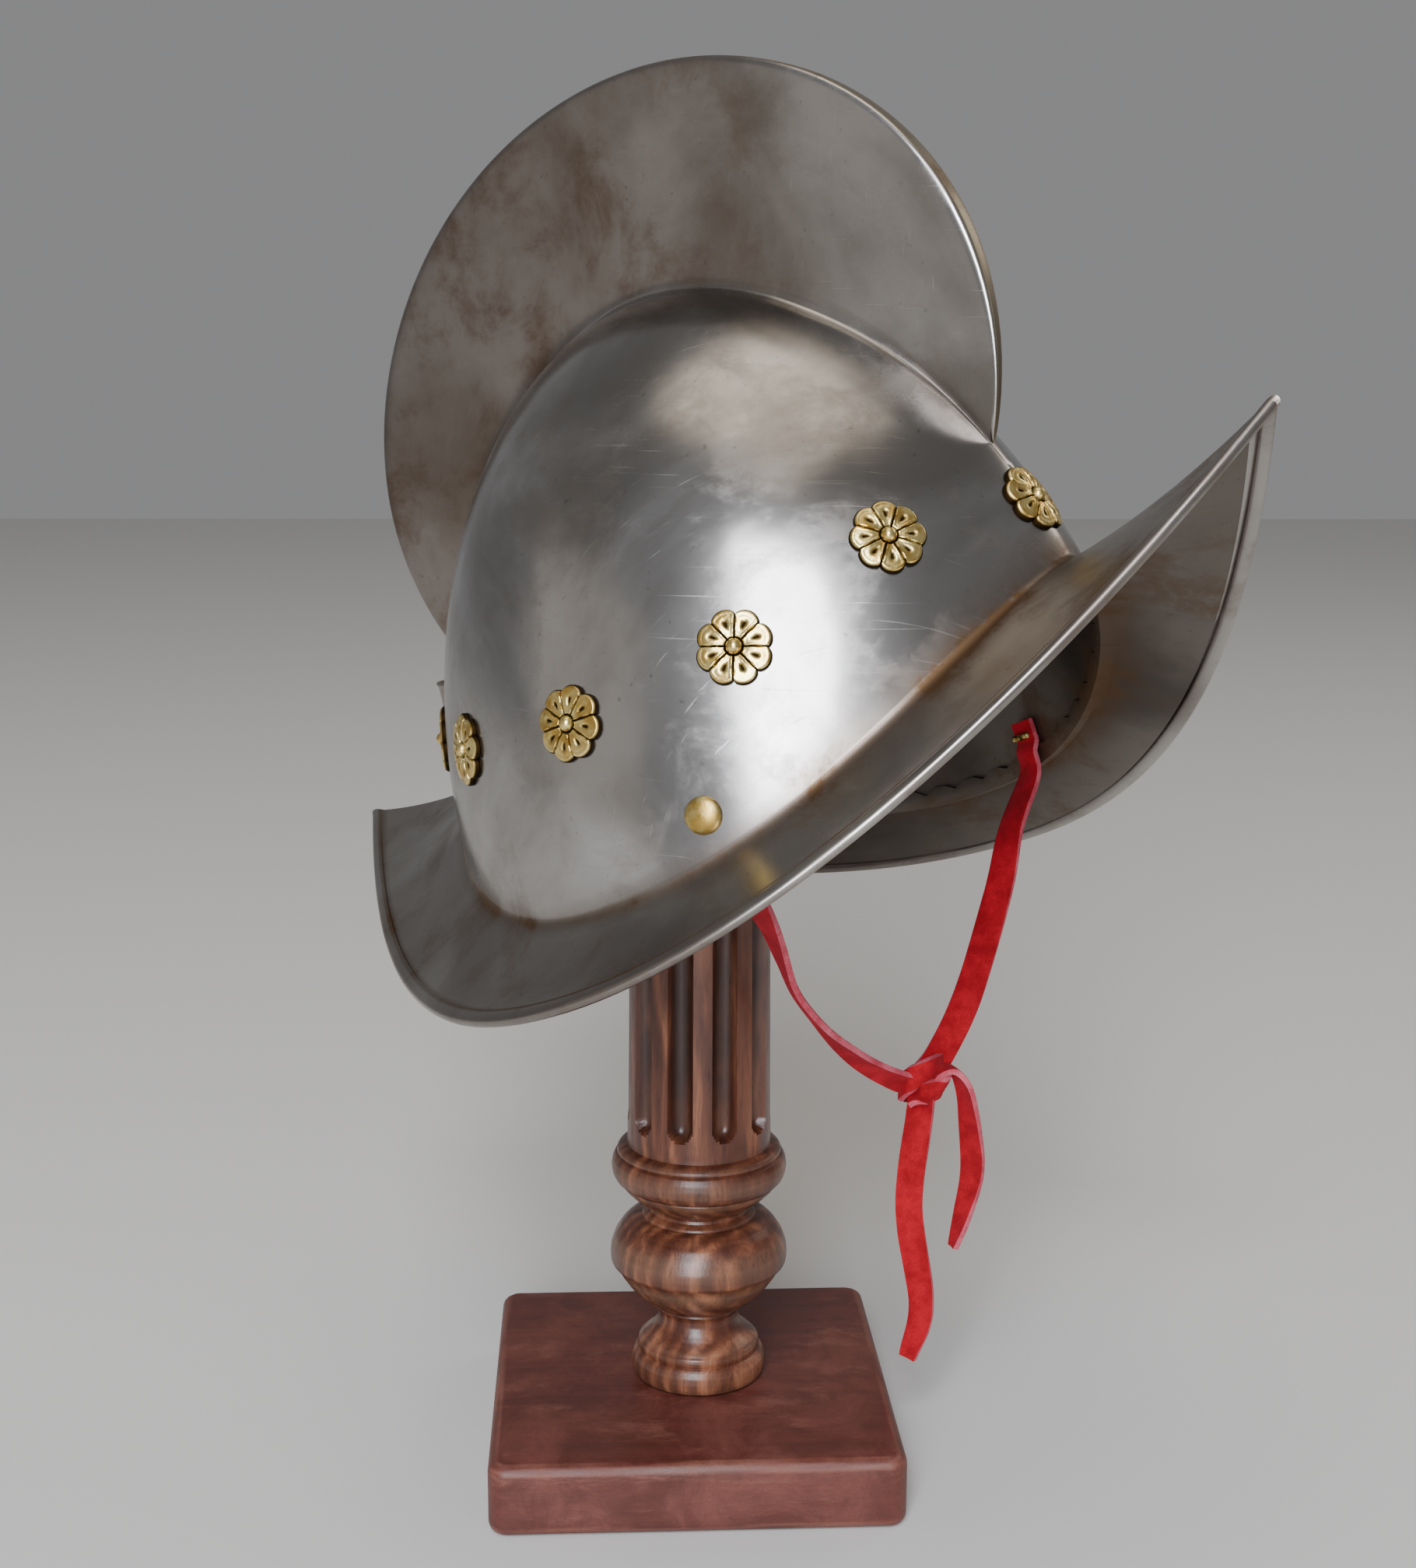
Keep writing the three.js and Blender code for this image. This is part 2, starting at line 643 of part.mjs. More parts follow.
function column() {
  const foot = BLOCK.height + GAP;
  const shaftFoot = foot + TURNING.height;
  const centre = columnCentre();
  const rings = [
    ...TURNING_PROFILE.map((row) => ringAt(row.out * TURNING.radius, foot + row.up * TURNING.height)),
    ringAt(SHAFT.footRadius, shaftFoot + GAP),
    ...topRings(SHAFT.topRadius, centre),
  ];
  let turned = loft(rings, [vector(0, 0, foot), vector(0, 0, centre + SHAFT.topRadius)]);
  const away = SHAFT.topRadius + FLUTES.radius - FLUTES.depth;
  const low = shaftFoot + FLUTES.foot + FLUTES.radius;
  for (let i = 0; i < FLUTES.count; i++) {
    const angle = (i * 2 * Math.PI) / FLUTES.count;
    const x = away * Math.cos(angle);
    const y = away * Math.sin(angle);
    const end = (z, side) =>
      [60, 30, 0].map(radians).map((lean) => {
        const up = z + side * FLUTES.radius * Math.sin(lean);
        return circle(10, FLUTES.radius * Math.cos(lean), (a, b) => vector(x + a, y + b, up));
      });
    turned = turned.subtract(loft([...end(low, -1), ...end(centre, 1).reverse()]));
  }
  return turned.translate([COLUMN_PLACE.x, COLUMN_PLACE.y, 0]);
}

object.add(meshOf("stand_block", block(), paintedWood));
object.add(meshOf("stand_column", column(), turnedWood));

export default object;
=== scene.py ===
"""The combed morion on its turned stand: polished steel, aged brass, red suede and dark wood."""
import math

import bmesh
import bpy
import numpy as np
from mathutils import Matrix, Vector


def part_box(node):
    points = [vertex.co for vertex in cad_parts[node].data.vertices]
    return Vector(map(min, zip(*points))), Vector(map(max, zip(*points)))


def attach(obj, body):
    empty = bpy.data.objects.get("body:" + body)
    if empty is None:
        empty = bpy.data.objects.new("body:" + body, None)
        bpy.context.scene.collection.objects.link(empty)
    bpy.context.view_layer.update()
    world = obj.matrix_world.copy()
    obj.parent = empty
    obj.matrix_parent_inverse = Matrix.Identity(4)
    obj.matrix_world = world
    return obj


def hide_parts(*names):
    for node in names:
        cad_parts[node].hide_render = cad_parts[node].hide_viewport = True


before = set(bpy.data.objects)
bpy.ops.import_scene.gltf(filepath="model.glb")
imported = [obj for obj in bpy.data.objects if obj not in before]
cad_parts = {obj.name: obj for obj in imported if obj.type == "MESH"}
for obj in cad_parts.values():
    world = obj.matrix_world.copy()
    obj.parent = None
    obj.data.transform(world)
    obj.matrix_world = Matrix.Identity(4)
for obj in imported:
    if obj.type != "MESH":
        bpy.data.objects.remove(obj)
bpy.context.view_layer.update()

MM = 0.001

# Sizes in millimetres, the same as the solids'. The helmet's own frame has X to its peak, Y to the
# wearer's left and Z up to the comb.
GAP = 0.3
SHEET = 1.5
HELMET_PLACE = (29.7, -5.9, 215.9)
HELMET_TURN, HELMET_TILT, HELMET_LEAN = -40.2, -23.3, 0.7
BOWL_MIDDLE, BOWL_FRONT, BOWL_BACK, BOWL_HALF, BOWL_HEIGHT = 5.2, 116.0, 126.0, 99.9, 157.9
PLAN_FRONT, PLAN_BACK = (1.81, 1.45), (1.93, 1.33)
PROFILE = 1.93
EDGE_SIDE, EDGE_FRONT, EDGE_BACK, EDGE_POWER = -17.3, 37.8, 44.5, 2.2
COMB_LENGTH, COMB_HEIGHT, COMB_CENTRE = 122.4, 103.7, 123.4
COMB_RIM, COMB_ROOT, COMB_END = 7.8, 11.6, 2.4
COMB_TAPER, COMB_THIN, COMB_FULL = 0.55, -32, 12
BRIM_MIDDLE, BRIM_FRONT, BRIM_BACK, BRIM_HALF = 2.9, 185.4, 183.0, 128.1
BRIM_SIDE_Z, BRIM_FRONT_Z, BRIM_BACK_Z = -36.8, 54.4, 45.9
BRIM_PLAN, BRIM_SWEEP = (1.7, 1.92), (1.95, 2.27)
BRIM_DISH = 2.4
BRIM_BEND, HEM_WIDTH = 2.5, 5.4
FLANGE, FLANGE_TAB, TAB_PITCH = 3.0, 2.2, 6.2
SEAT_LENGTH = 370
STRAP_WIDTH, STRAP_THICK = 10.0, 2.0
KNOT = np.array([74.0, -2.0, 122.0])
PLUME_ABOVE_BRIM, PLUME_PAST_COMB, PLUME_RADIUS, PLUME_FLARE = 3.71, 0.43, 7.9, 1.5
BLOCK_SIDE, BLOCK_HEIGHT, BLOCK_CORNER, BLOCK_EDGE = 127.0, 22.8, 6.0, 3.5
COLUMN = np.array([2.6, -0.5, 0.0])

# How finely the helmet's skin is drawn: columns from peak to back, and rows on each stretch.
SKIN_COLUMNS, BOWL_ROWS, PLATE_ROWS, BRIM_ROWS, UNDER_ROWS = 168, 58, 26, 15, 13
INSIDE_BOWL_ROWS, INSIDE_PLATE_ROWS, INSIDE_START = 34, 10, 5.6


# Meshes.

def turned(axis, degrees):
    """A turn about an axis, as a matrix."""
    return np.array(Matrix.Rotation(math.radians(degrees), 3, axis))


HELMET = turned("Z", HELMET_TURN) @ turned("Y", HELMET_TILT) @ turned("X", HELMET_LEAN)


def from_helmet(points):
    """Points in the helmet's frame to the object's frame, in millimetres."""
    return np.asarray(points) @ HELMET.T + np.array(HELMET_PLACE)


def mesh_piece(name, points, faces, materials, nodes, face_material=None, sharp=38, merge=0.0,
        dirt_wear_and_painted_light=None):
    """A mesh piece in metres from points in millimetres, that stands for CAD nodes. Its per-point
    values, from 0 to 1, mark dirt and patina with painted shade, and on the comb a painted reflection;
    on the block they mark wear with a painted highlight. On the column they go below 0 where a ridge
    is rubbed."""
    mesh = bpy.data.meshes.new(name)
    mesh.from_pydata([tuple(p) for p in np.asarray(points) * MM], [], [tuple(f) for f in faces])
    if dirt_wear_and_painted_light is not None:
        layer = mesh.attributes.new("dirt_wear_and_painted_light", "FLOAT", "POINT")
        layer.data.foreach_set("value", np.asarray(dirt_wear_and_painted_light, np.float32).ravel())
    for finish in materials:
        mesh.materials.append(finish)
    if face_material is not None:
        mesh.polygons.foreach_set("material_index", [int(m) for m in face_material])
    if merge:
        work = bmesh.new()
        work.from_mesh(mesh)
        bmesh.ops.remove_doubles(work, verts=work.verts, dist=merge * MM)
        bmesh.ops.dissolve_degenerate(work, edges=work.edges, dist=merge * MM)
        bmesh.ops.recalc_face_normals(work, faces=work.faces)
        work.to_mesh(mesh)
        work.free()
    mesh.validate()
    mesh.polygons.foreach_set("use_smooth", [True] * len(mesh.polygons))
    mesh.set_sharp_from_angle(angle=math.radians(sharp))
    piece = bpy.data.objects.new(name, mesh)
    bpy.context.collection.objects.link(piece)
    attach(piece, "root")
    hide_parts(*nodes)


def grid_faces(rows, columns, start=0, wrap=False):
    """Quads over a grid stored row by row."""
    faces = []
    last = columns if wrap else columns - 1
    for i in range(rows - 1):
        for j in range(last):
            k = (j + 1) % columns
            a = start + i * columns
            faces.append((a + j, a + k, a + columns + k, a + columns + j))
    return faces


def smoothstep(value, low, high):
    """From 0 at low to 1 at high, easing in and out."""
    share = np.clip((value - low) / (high - low), 0, 1)
    return share * share * (3 - 2 * share)


# The bowl's shape.

def by_end(x, front, back):
    """One value in front of the bowl's middle and another behind it."""
    return np.where(x > BOWL_MIDDLE, front, back)


def edge_height(x):
    """The height of the bowl's edge, which sweeps up towards both ends."""
    along = np.abs(x - BOWL_MIDDLE) / by_end(x, BOWL_FRONT, BOWL_BACK)
    return EDGE_SIDE + (by_end(x, EDGE_FRONT, EDGE_BACK) - EDGE_SIDE) * along ** EDGE_POWER


def bowl_scale(z, inset):
    """The size of the bowl's plan at a height, as a share of the plan at its foot."""
    up = np.clip(z / (BOWL_HEIGHT - inset), 0, 1)
    return (1 - up ** PROFILE) ** (1 / PROFILE)


def bowl_point(turn, z, inset=0.0):
    """The bowl's surface, or one inset from it, at a turn round the bowl and a height."""
    front = np.cos(turn) > 0
    length = np.where(front, PLAN_FRONT[0], PLAN_BACK[0])
    width = np.where(front, PLAN_FRONT[1], PLAN_BACK[1])
    reach = np.where(front, BOWL_FRONT, BOWL_BACK) - inset
    scale = bowl_scale(z, inset)
    along = np.sign(np.cos(turn)) * np.abs(np.cos(turn)) ** (2 / length)
    across = np.sign(np.sin(turn)) * np.abs(np.sin(turn)) ** (2 / width)
    x = BOWL_MIDDLE + reach * scale * along
    y = (BOWL_HALF - inset) * scale * across
    return np.stack(np.broadcast_arrays(x, y, z), -1)


def edge_height_at(turn):
    """The height of the bowl's edge at a turn, found in a few rounds."""
    z = np.zeros_like(turn)
    for _ in range(8):
        z = edge_height(bowl_point(turn, z)[..., 0])
    return z


def outside_bowl(p):
    """Below nought inside the bowl, nought on it and above nought outside."""
    x, y, z = p[..., 0], p[..., 1], p[..., 2]
    scale = np.maximum(bowl_scale(z, 0.0), 1e-3)
    along = np.abs((x - BOWL_MIDDLE) / (by_end(x, BOWL_FRONT, BOWL_BACK) * scale))
    across = np.abs(y / (BOWL_HALF * scale))
    length = by_end(x, PLAN_FRONT[0], PLAN_BACK[0])
    width = by_end(x, PLAN_FRONT[1], PLAN_BACK[1])
    return along ** length + across ** width - 1


def comb_half(x, z):
    """Half the comb's thickness at a place in its plane. From COMB_TAPER of the way out it thins
    towards its rim, and from COMB_FULL down to COMB_THIN degrees over its centre towards each end."""
    dx, dz = x / COMB_LENGTH, (z - COMB_CENTRE) / COMB_HEIGHT
    reach = np.hypot(dx, dz)
    above = np.degrees(np.arctan2(dz, np.abs(dx)))
    out = np.clip((reach - COMB_TAPER) / (1 - COMB_TAPER), 0, 1)
    thick = COMB_ROOT + (COMB_RIM - COMB_ROOT) * out
    full = smoothstep(above, COMB_THIN, COMB_FULL)
    return (COMB_END + (thick - COMB_END) * full) / 2


def half_within(x, z, trim):
    """Half the comb's thickness, or half its hollow where trim is the sheet's thickness."""
    half = comb_half(x, z)
    return np.maximum(half - trim, half / 3) if trim else half


def in_comb(x, z, trim):
    """Whether a place lies within the comb's outline, or within one trimmed by so much."""
    return (x / (COMB_LENGTH - trim)) ** 2 + ((z - COMB_CENTRE) / (COMB_HEIGHT - trim)) ** 2 < 1


def brim_edge(turn):
    """The brim's outer edge: a boat in plan, with a peak that sweeps up at each end."""
    along = np.cos(turn)
    front = along > 0
    reach = np.abs(along)
    x = BRIM_MIDDLE + np.where(front, BRIM_FRONT, BRIM_BACK) * along
    y = np.sign(np.sin(turn)) * BRIM_HALF * (1 - reach ** np.where(front, *BRIM_PLAN))
    rise = reach ** np.where(front, *BRIM_SWEEP)
    z = BRIM_SIDE_Z + (np.where(front, BRIM_FRONT_Z, BRIM_BACK_Z) - BRIM_SIDE_Z) * rise
    return np.stack([x, y, z], -1)


# The helmet's skin: one half as columns that run from the comb's rim down over the bowl and the brim,
# round the hem and back up inside. Each column stands at a turn between the peak and the back.

def run_length(points):
    """How far along a line each of its points lies, as a share of the whole."""
    steps = np.linalg.norm(np.diff(points, axis=0), axis=1)
    lengths = np.concatenate([[0], np.cumsum(steps)])
    return lengths / lengths[-1]


def junction(turn, trim):
    """The height at which each column of the bowl runs into the comb."""
    low = edge_height_at(turn)
    high = np.full_like(turn, BOWL_HEIGHT - trim)
    for _ in range(40):
        middle = (low + high) / 2
        p = bowl_point(turn, middle, trim)
        inside = in_comb(p[:, 0], middle, trim) & (p[:, 1] < half_within(p[:, 0], middle, trim))
        high = np.where(inside, middle, high)
        low = np.where(inside, low, middle)
    return high


# Under the bowl's foot, so much height counts as one step of the rise.
FOOT_STEP = 110.0


def rise_of(z):
    """A height as a measure of the way up the bowl that keeps steps even over the crown."""
    up = np.clip(z / BOWL_HEIGHT, 0, 1)
    return np.where(z > 0, np.arcsin(up ** (PROFILE / 2)), z / FOOT_STEP)


def height_of(rise):
    """The height that rise_of turns into this measure."""
    return np.where(rise > 0, BOWL_HEIGHT * np.abs(np.sin(rise)) ** (2 / PROFILE), rise * FOOT_STEP)


FINE_TURNS = np.linspace(0, math.pi, 3001)
SEAT = bowl_point(FINE_TURNS, edge_height_at(FINE_TURNS))
SEAT_RUN = run_length(SEAT)
ROOT = bowl_point(FINE_TURNS, junction(FINE_TURNS, 0.0))
ROOT_RUN = run_length(ROOT)
BRIM_RUN = run_length(brim_edge(FINE_TURNS))


def column_turns(count):
    """Turns that space the columns evenly, halfway between the bowl's edge and the comb's root."""
    even = 0.5 * SEAT_RUN + 0.5 * ROOT_RUN
    return np.interp(np.linspace(0, 1, count + 1), even, FINE_TURNS)


def brim_top(turns, share):
    """The top of the brim from the bowl, at share 0, to its edge, at share 1."""
    start = bowl_point(turns, edge_height_at(turns))
    edge_turns = np.interp(np.interp(turns, FINE_TURNS, SEAT_RUN), BRIM_RUN, FINE_TURNS)
    p = start + (brim_edge(edge_turns) - start) * share[..., None]
    p[..., 2] -= BRIM_DISH * 4 * share * (1 - share)
    return p


def silhouette_normal(x, z):
    """The bowl's outward direction in the comb's plane, and the distance from the bowl there."""
    reach = by_end(x, BOWL_FRONT, BOWL_BACK)
    across = np.abs(x - BOWL_MIDDLE) / reach
    up = np.clip(z, 0, None) / BOWL_HEIGHT
    value = (across ** PROFILE + up ** PROFILE) ** (1 / PROFILE)
    gx = np.sign(x - BOWL_MIDDLE) * (across / value) ** (PROFILE - 1) / reach
    gz = (up / value) ** (PROFILE - 1) / BOWL_HEIGHT
    size = np.hypot(gx, gz) + 1e-9
    return gx / size, gz / size, (value - 1) / size


def soften_root(p, away, reach):
    """Draws the surface into a hollow curve where the comb rises from the bowl."""
    nx, nz, _ = silhouette_normal(p[..., 0], p[..., 2])
    lift = np.clip(reach - away, 0, None) ** 2 / (4 * reach)
    p[..., 0] += nx * lift
    p[..., 1] += lift
    p[..., 2] += nz * lift
    return p


def root_reach(x):
    """The hollow at the comb's root is wide at the back and tight towards the peak."""
    reach = 3 + 9 * smoothstep(-x, -60, 60)
    return reach * (0.15 + 0.85 * smoothstep(np.abs(x), 108, 84))


def bowl_rows(turns, trim, count, start_rise):
    """Rows from start_rise above the bowl's edge up to the comb's root, for one side."""
    low = rise_of(edge_height_at(turns) + start_rise)
    high = rise_of(junction(turns, trim))
    rows = []
    for share in np.linspace(0, 1, count + 1):
        share = 1 - (1 - share) ** 1.5
        p = bowl_point(turns, height_of(low + (high - low) * share), trim)
        if not trim:
            away = np.clip(p[:, 1] - comb_half(p[:, 0], p[:, 2]), 0, None)
            near = in_comb(p[:, 0], p[:, 2], -6.0)
            p = soften_root(p, np.where(near, away, 1e3), root_reach(p[:, 0]))
        rows.append(p)
    return rows


# The comb's rim: a rounded corner, the fine groove where one plate is turned over the other, and a flat
# band. Each place is a distance in from the rim and one from the plate towards the middle.
RIM_CORNER = 3.2
RIM_SECTION = [
    (2.3, 0.06), (1.45, 0.26), (0.75, 0.6), (0.28, 1.05), (0.1, 1.5), (0.6, 1.6), (0.65, 1.85),
    (0.1, 1.98), (0.0, 2.9), (0.0, COMB_RIM / 2),
]


def comb_rows(turns, trim, count):
    """Rows from the comb's root up its plate and round its rim to the middle, for one side."""
    foot = bowl_point(turns, junction(turns, trim), trim)
    front, back = [
        math.atan2((ROOT[end, 2] - COMB_CENTRE) / COMB_HEIGHT, ROOT[end, 0] / COMB_LENGTH)
        for end in (0, -1)
    ]
    run = np.interp(turns, FINE_TURNS, ROOT_RUN)
    angle = front + (back + 2 * math.pi - front) * run
    rim_x = (COMB_LENGTH - trim) * np.cos(angle)
    rim_z = COMB_CENTRE + (COMB_HEIGHT - trim) * np.sin(angle)
    out_x, out_z = np.cos(angle) / COMB_LENGTH, np.sin(angle) / COMB_HEIGHT
    size = np.hypot(out_x, out_z)
    out_x, out_z = out_x / size, out_z / size
    half_rim = half_within(rim_x, rim_z, trim)
    small = half_rim / (COMB_RIM / 2)
    rows = []
    for share in np.linspace(0, 1, count + 1)[1:]:
        share = share ** 1.25
        x = foot[:, 0] + (rim_x - out_x * RIM_CORNER * small - foot[:, 0]) * share
        z = foot[:, 2] + (rim_z - out_z * RIM_CORNER * small - foot[:, 2]) * share
        p = np.stack([x, half_within(x, z, trim), z], -1)
        if not trim:
            _, _, away = silhouette_normal(x, z)
            p = soften_root(p, np.clip(away, 0, None), root_reach(foot[:, 0]))
        rows.append(p)
    for inward, across in RIM_SECTION[-1:] if trim else RIM_SECTION:
        x = rim_x - out_x * inward * small
        z = rim_z - out_z * inward * small
        rows.append(np.stack([x, half_rim * (1 - across / (COMB_RIM / 2)), z], -1))
    return rows


# The hem is folded under and hammered flat, and the sheet turns over a round edge. Each place is a
# distance in from the brim's edge and a depth below its top.
HEM_FOLD = [
    (5.0, 0.3), (4.6, 0.42), (4.2, 0.1), (3.4, -0.1), (2.0, -0.15), (1.1, 0.0), (0.45, 0.35),
    (0.1, 0.95), (0.0, 1.6), (0.15, 2.25), (0.55, 2.75), (1.2, 3.05), (2.6, 3.2), (4.2, 3.1),
    (5.0, 2.8), (5.3, 2.2), (5.25, 1.55),
]


def brim_rows(turns, seat):
    """Rows over the bend and out along the brim, round the hem, and back in along the underside."""
    edge = brim_top(turns, np.ones(len(turns)))
    width = np.linalg.norm(edge - seat, axis=1)
    above = bowl_point(turns, edge_height_at(turns) + BRIM_BEND)
    beside = brim_top(turns, BRIM_BEND / width)
    top = []
    for t in (0.17, 0.33, 0.5, 0.67, 0.83):
        top.append((1 - t) ** 2 * above + 2 * t * (1 - t) * seat + t * t * beside)
    hem_share = 1 - HEM_WIDTH / width
    for t in np.linspace(0, 1, BRIM_ROWS):
        top.append(brim_top(turns, BRIM_BEND / width + (hem_share - BRIM_BEND / width) * t))
    inward = seat - edge
    inward /= np.linalg.norm(inward, axis=1)[:, None]
    along = np.gradient(edge, axis=0)
    along[0], along[-1] = [0, 1, 0], [0, -1, 0]
    down = np.cross(inward, along)
    down /= np.linalg.norm(down, axis=1)[:, None]
    down *= np.where(down[:, 2] > 0, -1, 1)[:, None]
    hem = [edge + inward * across + down * depth for across, depth in HEM_FOLD]
    under = []
    for t in np.linspace(0.06, 1, UNDER_ROWS):
        share = (1 - t) * hem_share
        under.append(brim_top(turns, share) + down * SHEET * (1 - t) + np.array([0, 0, -SHEET]) * t)
    return top, hem, under


def flange_rows(turns):
    """The brim's inner edge, turned up inside the bowl in snipped tabs."""
    edge = edge_height_at(turns)
    length = np.interp(turns, FINE_TURNS, SEAT_RUN) * SEAT_LENGTH
    tab = np.abs((length / TAB_PITCH) % 1 - 0.5) * 2
    height = FLANGE + FLANGE_TAB * smoothstep(tab, 0.15, 0.45)
    # Each place: a share of the tab's height, a step up and a distance in from the bowl's outside.
    section = [(0, -1.0, 3.0), (0, 0.4, 3.3), (0.6, 0, 3.3), (1, 0, 3.1), (1, 0.1, 2.0), (1, -0.4, 1.6)]
    return [bowl_point(turns, edge + height * share + step, inset) for share, step, inset in section]


def helmet_dirt_and_painted_light(grid, kinds, turns, seat):
    """Dirt and painted shade in the crease over the brim, widest at the peak, and at the comb's root;
    painted shade in the hem's line; brown on the comb, part patina and part painted reflection of red
    cloth, less towards its front edge; and brown patina on top of the peak."""
    root = bowl_point(turns, junction(turns, 0.0))
    # Darker in the crease over the brim and at the comb's root: part dirt, part painted shade.
    crease_dark_reach = 5.5 + 12 * smoothstep(seat[:, 0], 5, 75)
    by_seat = 1.1 * np.clip(1 - np.linalg.norm(grid - seat, axis=2) / crease_dark_reach, 0, 1) ** 1.5
    by_root = np.clip(1 - np.linalg.norm(grid - root, axis=2) / 6, 0, 1) ** 2
    dirt_wear_and_painted_light = np.maximum(by_seat, 0.6 * by_root)
    along = grid[..., 0]
    # On the comb the brown is part patina and part a painted reflection of red cloth, strongest at the back.
    comb_patina_and_reflection = 0.74 - 0.16 * smoothstep(along, 0, 45) - 0.46 * smoothstep(along, 50, 95)
    in_plate = np.arange(len(grid))[:, None] < len(RIM_SECTION) + PLATE_ROWS
    dirt_wear_and_painted_light = np.where(in_plate, np.maximum(dirt_wear_and_painted_light, comb_patina_and_reflection), dirt_wear_and_painted_light)
    on_brim = np.array([kind == "brim" for kind in kinds])[:, None]
    dirt_wear_and_painted_light = np.where(on_brim, np.maximum(dirt_wear_and_painted_light, 0.5 * smoothstep(along, 85, 150)), dirt_wear_and_painted_light)
    # The line of the hem's groove is painted dark, as shade.
    hem_line = kinds.index("hem")
    dirt_wear_and_painted_light[hem_line - 1:hem_line + 3] = 0.9
    return dirt_wear_and_painted_light


def helmet_skin():
    """The whole of the bowl, the comb and the brim as one skin, outside and inside."""
    turns = column_turns(SKIN_COLUMNS)
    seat = brim_top(turns, np.zeros(len(turns)))
    outside = bowl_rows(turns, 0.0, BOWL_ROWS, BRIM_BEND) + comb_rows(turns, 0.0, PLATE_ROWS)
    outside = outside[::-1]
    # The first six rows are the comb's rim as far as its groove, which is filed and not polished.
    rim, polished = outside[:6], outside[6:]
    top, hem, under = brim_rows(turns, seat)
    inside = bowl_rows(turns, SHEET, INSIDE_BOWL_ROWS, INSIDE_START)
    inside += comb_rows(turns, SHEET, INSIDE_PLATE_ROWS)
    stretches = [
        ("rim", rim), ("skull", polished), ("brim", top), ("hem", hem),
        ("under", under + flange_rows(turns)), ("inside", inside),
    ]
    grid = np.array([row for _, rows in stretches for row in rows])
    # Both halves meet in the middle plane.
    grid[:, 0, 1] = 0
    grid[:, -1, 1] = 0
    kinds = [kind for kind, rows in stretches for _ in rows]
    dirt_wear_and_painted_light = helmet_dirt_and_painted_light(grid, kinds, turns, seat).ravel()
    left = grid.reshape(-1, 3)
    right = left * np.array([1, -1, 1])
    faces = grid_faces(len(grid), len(turns))
    mirrored = [tuple(i + len(left) for i in reversed(face)) for face in faces]
    finish = {"skull": 0, "rim": 1, "brim": 2, "hem": 2, "under": 3, "inside": 3}
    face_material = [finish[kind] for kind in kinds[:-1] for _ in turns[:-1]]
    mesh_piece(
        "helmet_skin", from_helmet(np.concatenate([left, right])), faces + mirrored,
        [polished_steel, rim_steel, brim_steel, dull_steel], ["bowl_and_comb", "brim"],
        face_material * 2, sharp=32, merge=0.004, dirt_wear_and_painted_light=np.concatenate([dirt_wear_and_painted_light, dirt_wear_and_painted_light]))


# Fittings on the bowl.

def surface_frame(turn, z):
    """A place on the bowl, with the directions along it, up it and out from it."""
    point = bowl_point(np.array(turn), np.array(z))
    step = 0.05
    out = np.array([
        outside_bowl(point + step * axis) - outside_bowl(point - step * axis) for axis in np.eye(3)
    ])
    out /= np.linalg.norm(out)
    along = np.cross([0, 0, 1], out)
    along /= np.linalg.norm(along)
    return point, along, np.cross(out, along), out


def on_frame(at, a, b, h):
    """Points by their distances along, up and out from a place on the bowl."""
    point, along, up, out = at
    return point + np.multiply.outer(a, along) + np.multiply.outer(b, up) + np.multiply.outer(h, out)


def on_bowl(at, a, b, h):
    """As on_frame, but with the heights measured from the bowl's curved surface."""
    near, far = np.full_like(a, -4.0), np.full_like(a, 30.0)
    for _ in range(26):
        middle = (near + far) / 2
        out = outside_bowl(on_frame(at, a, b, -middle)) > 0
        near, far = np.where(out, middle, near), np.where(out, far, middle)
    return on_frame(at, a, b, h - near)


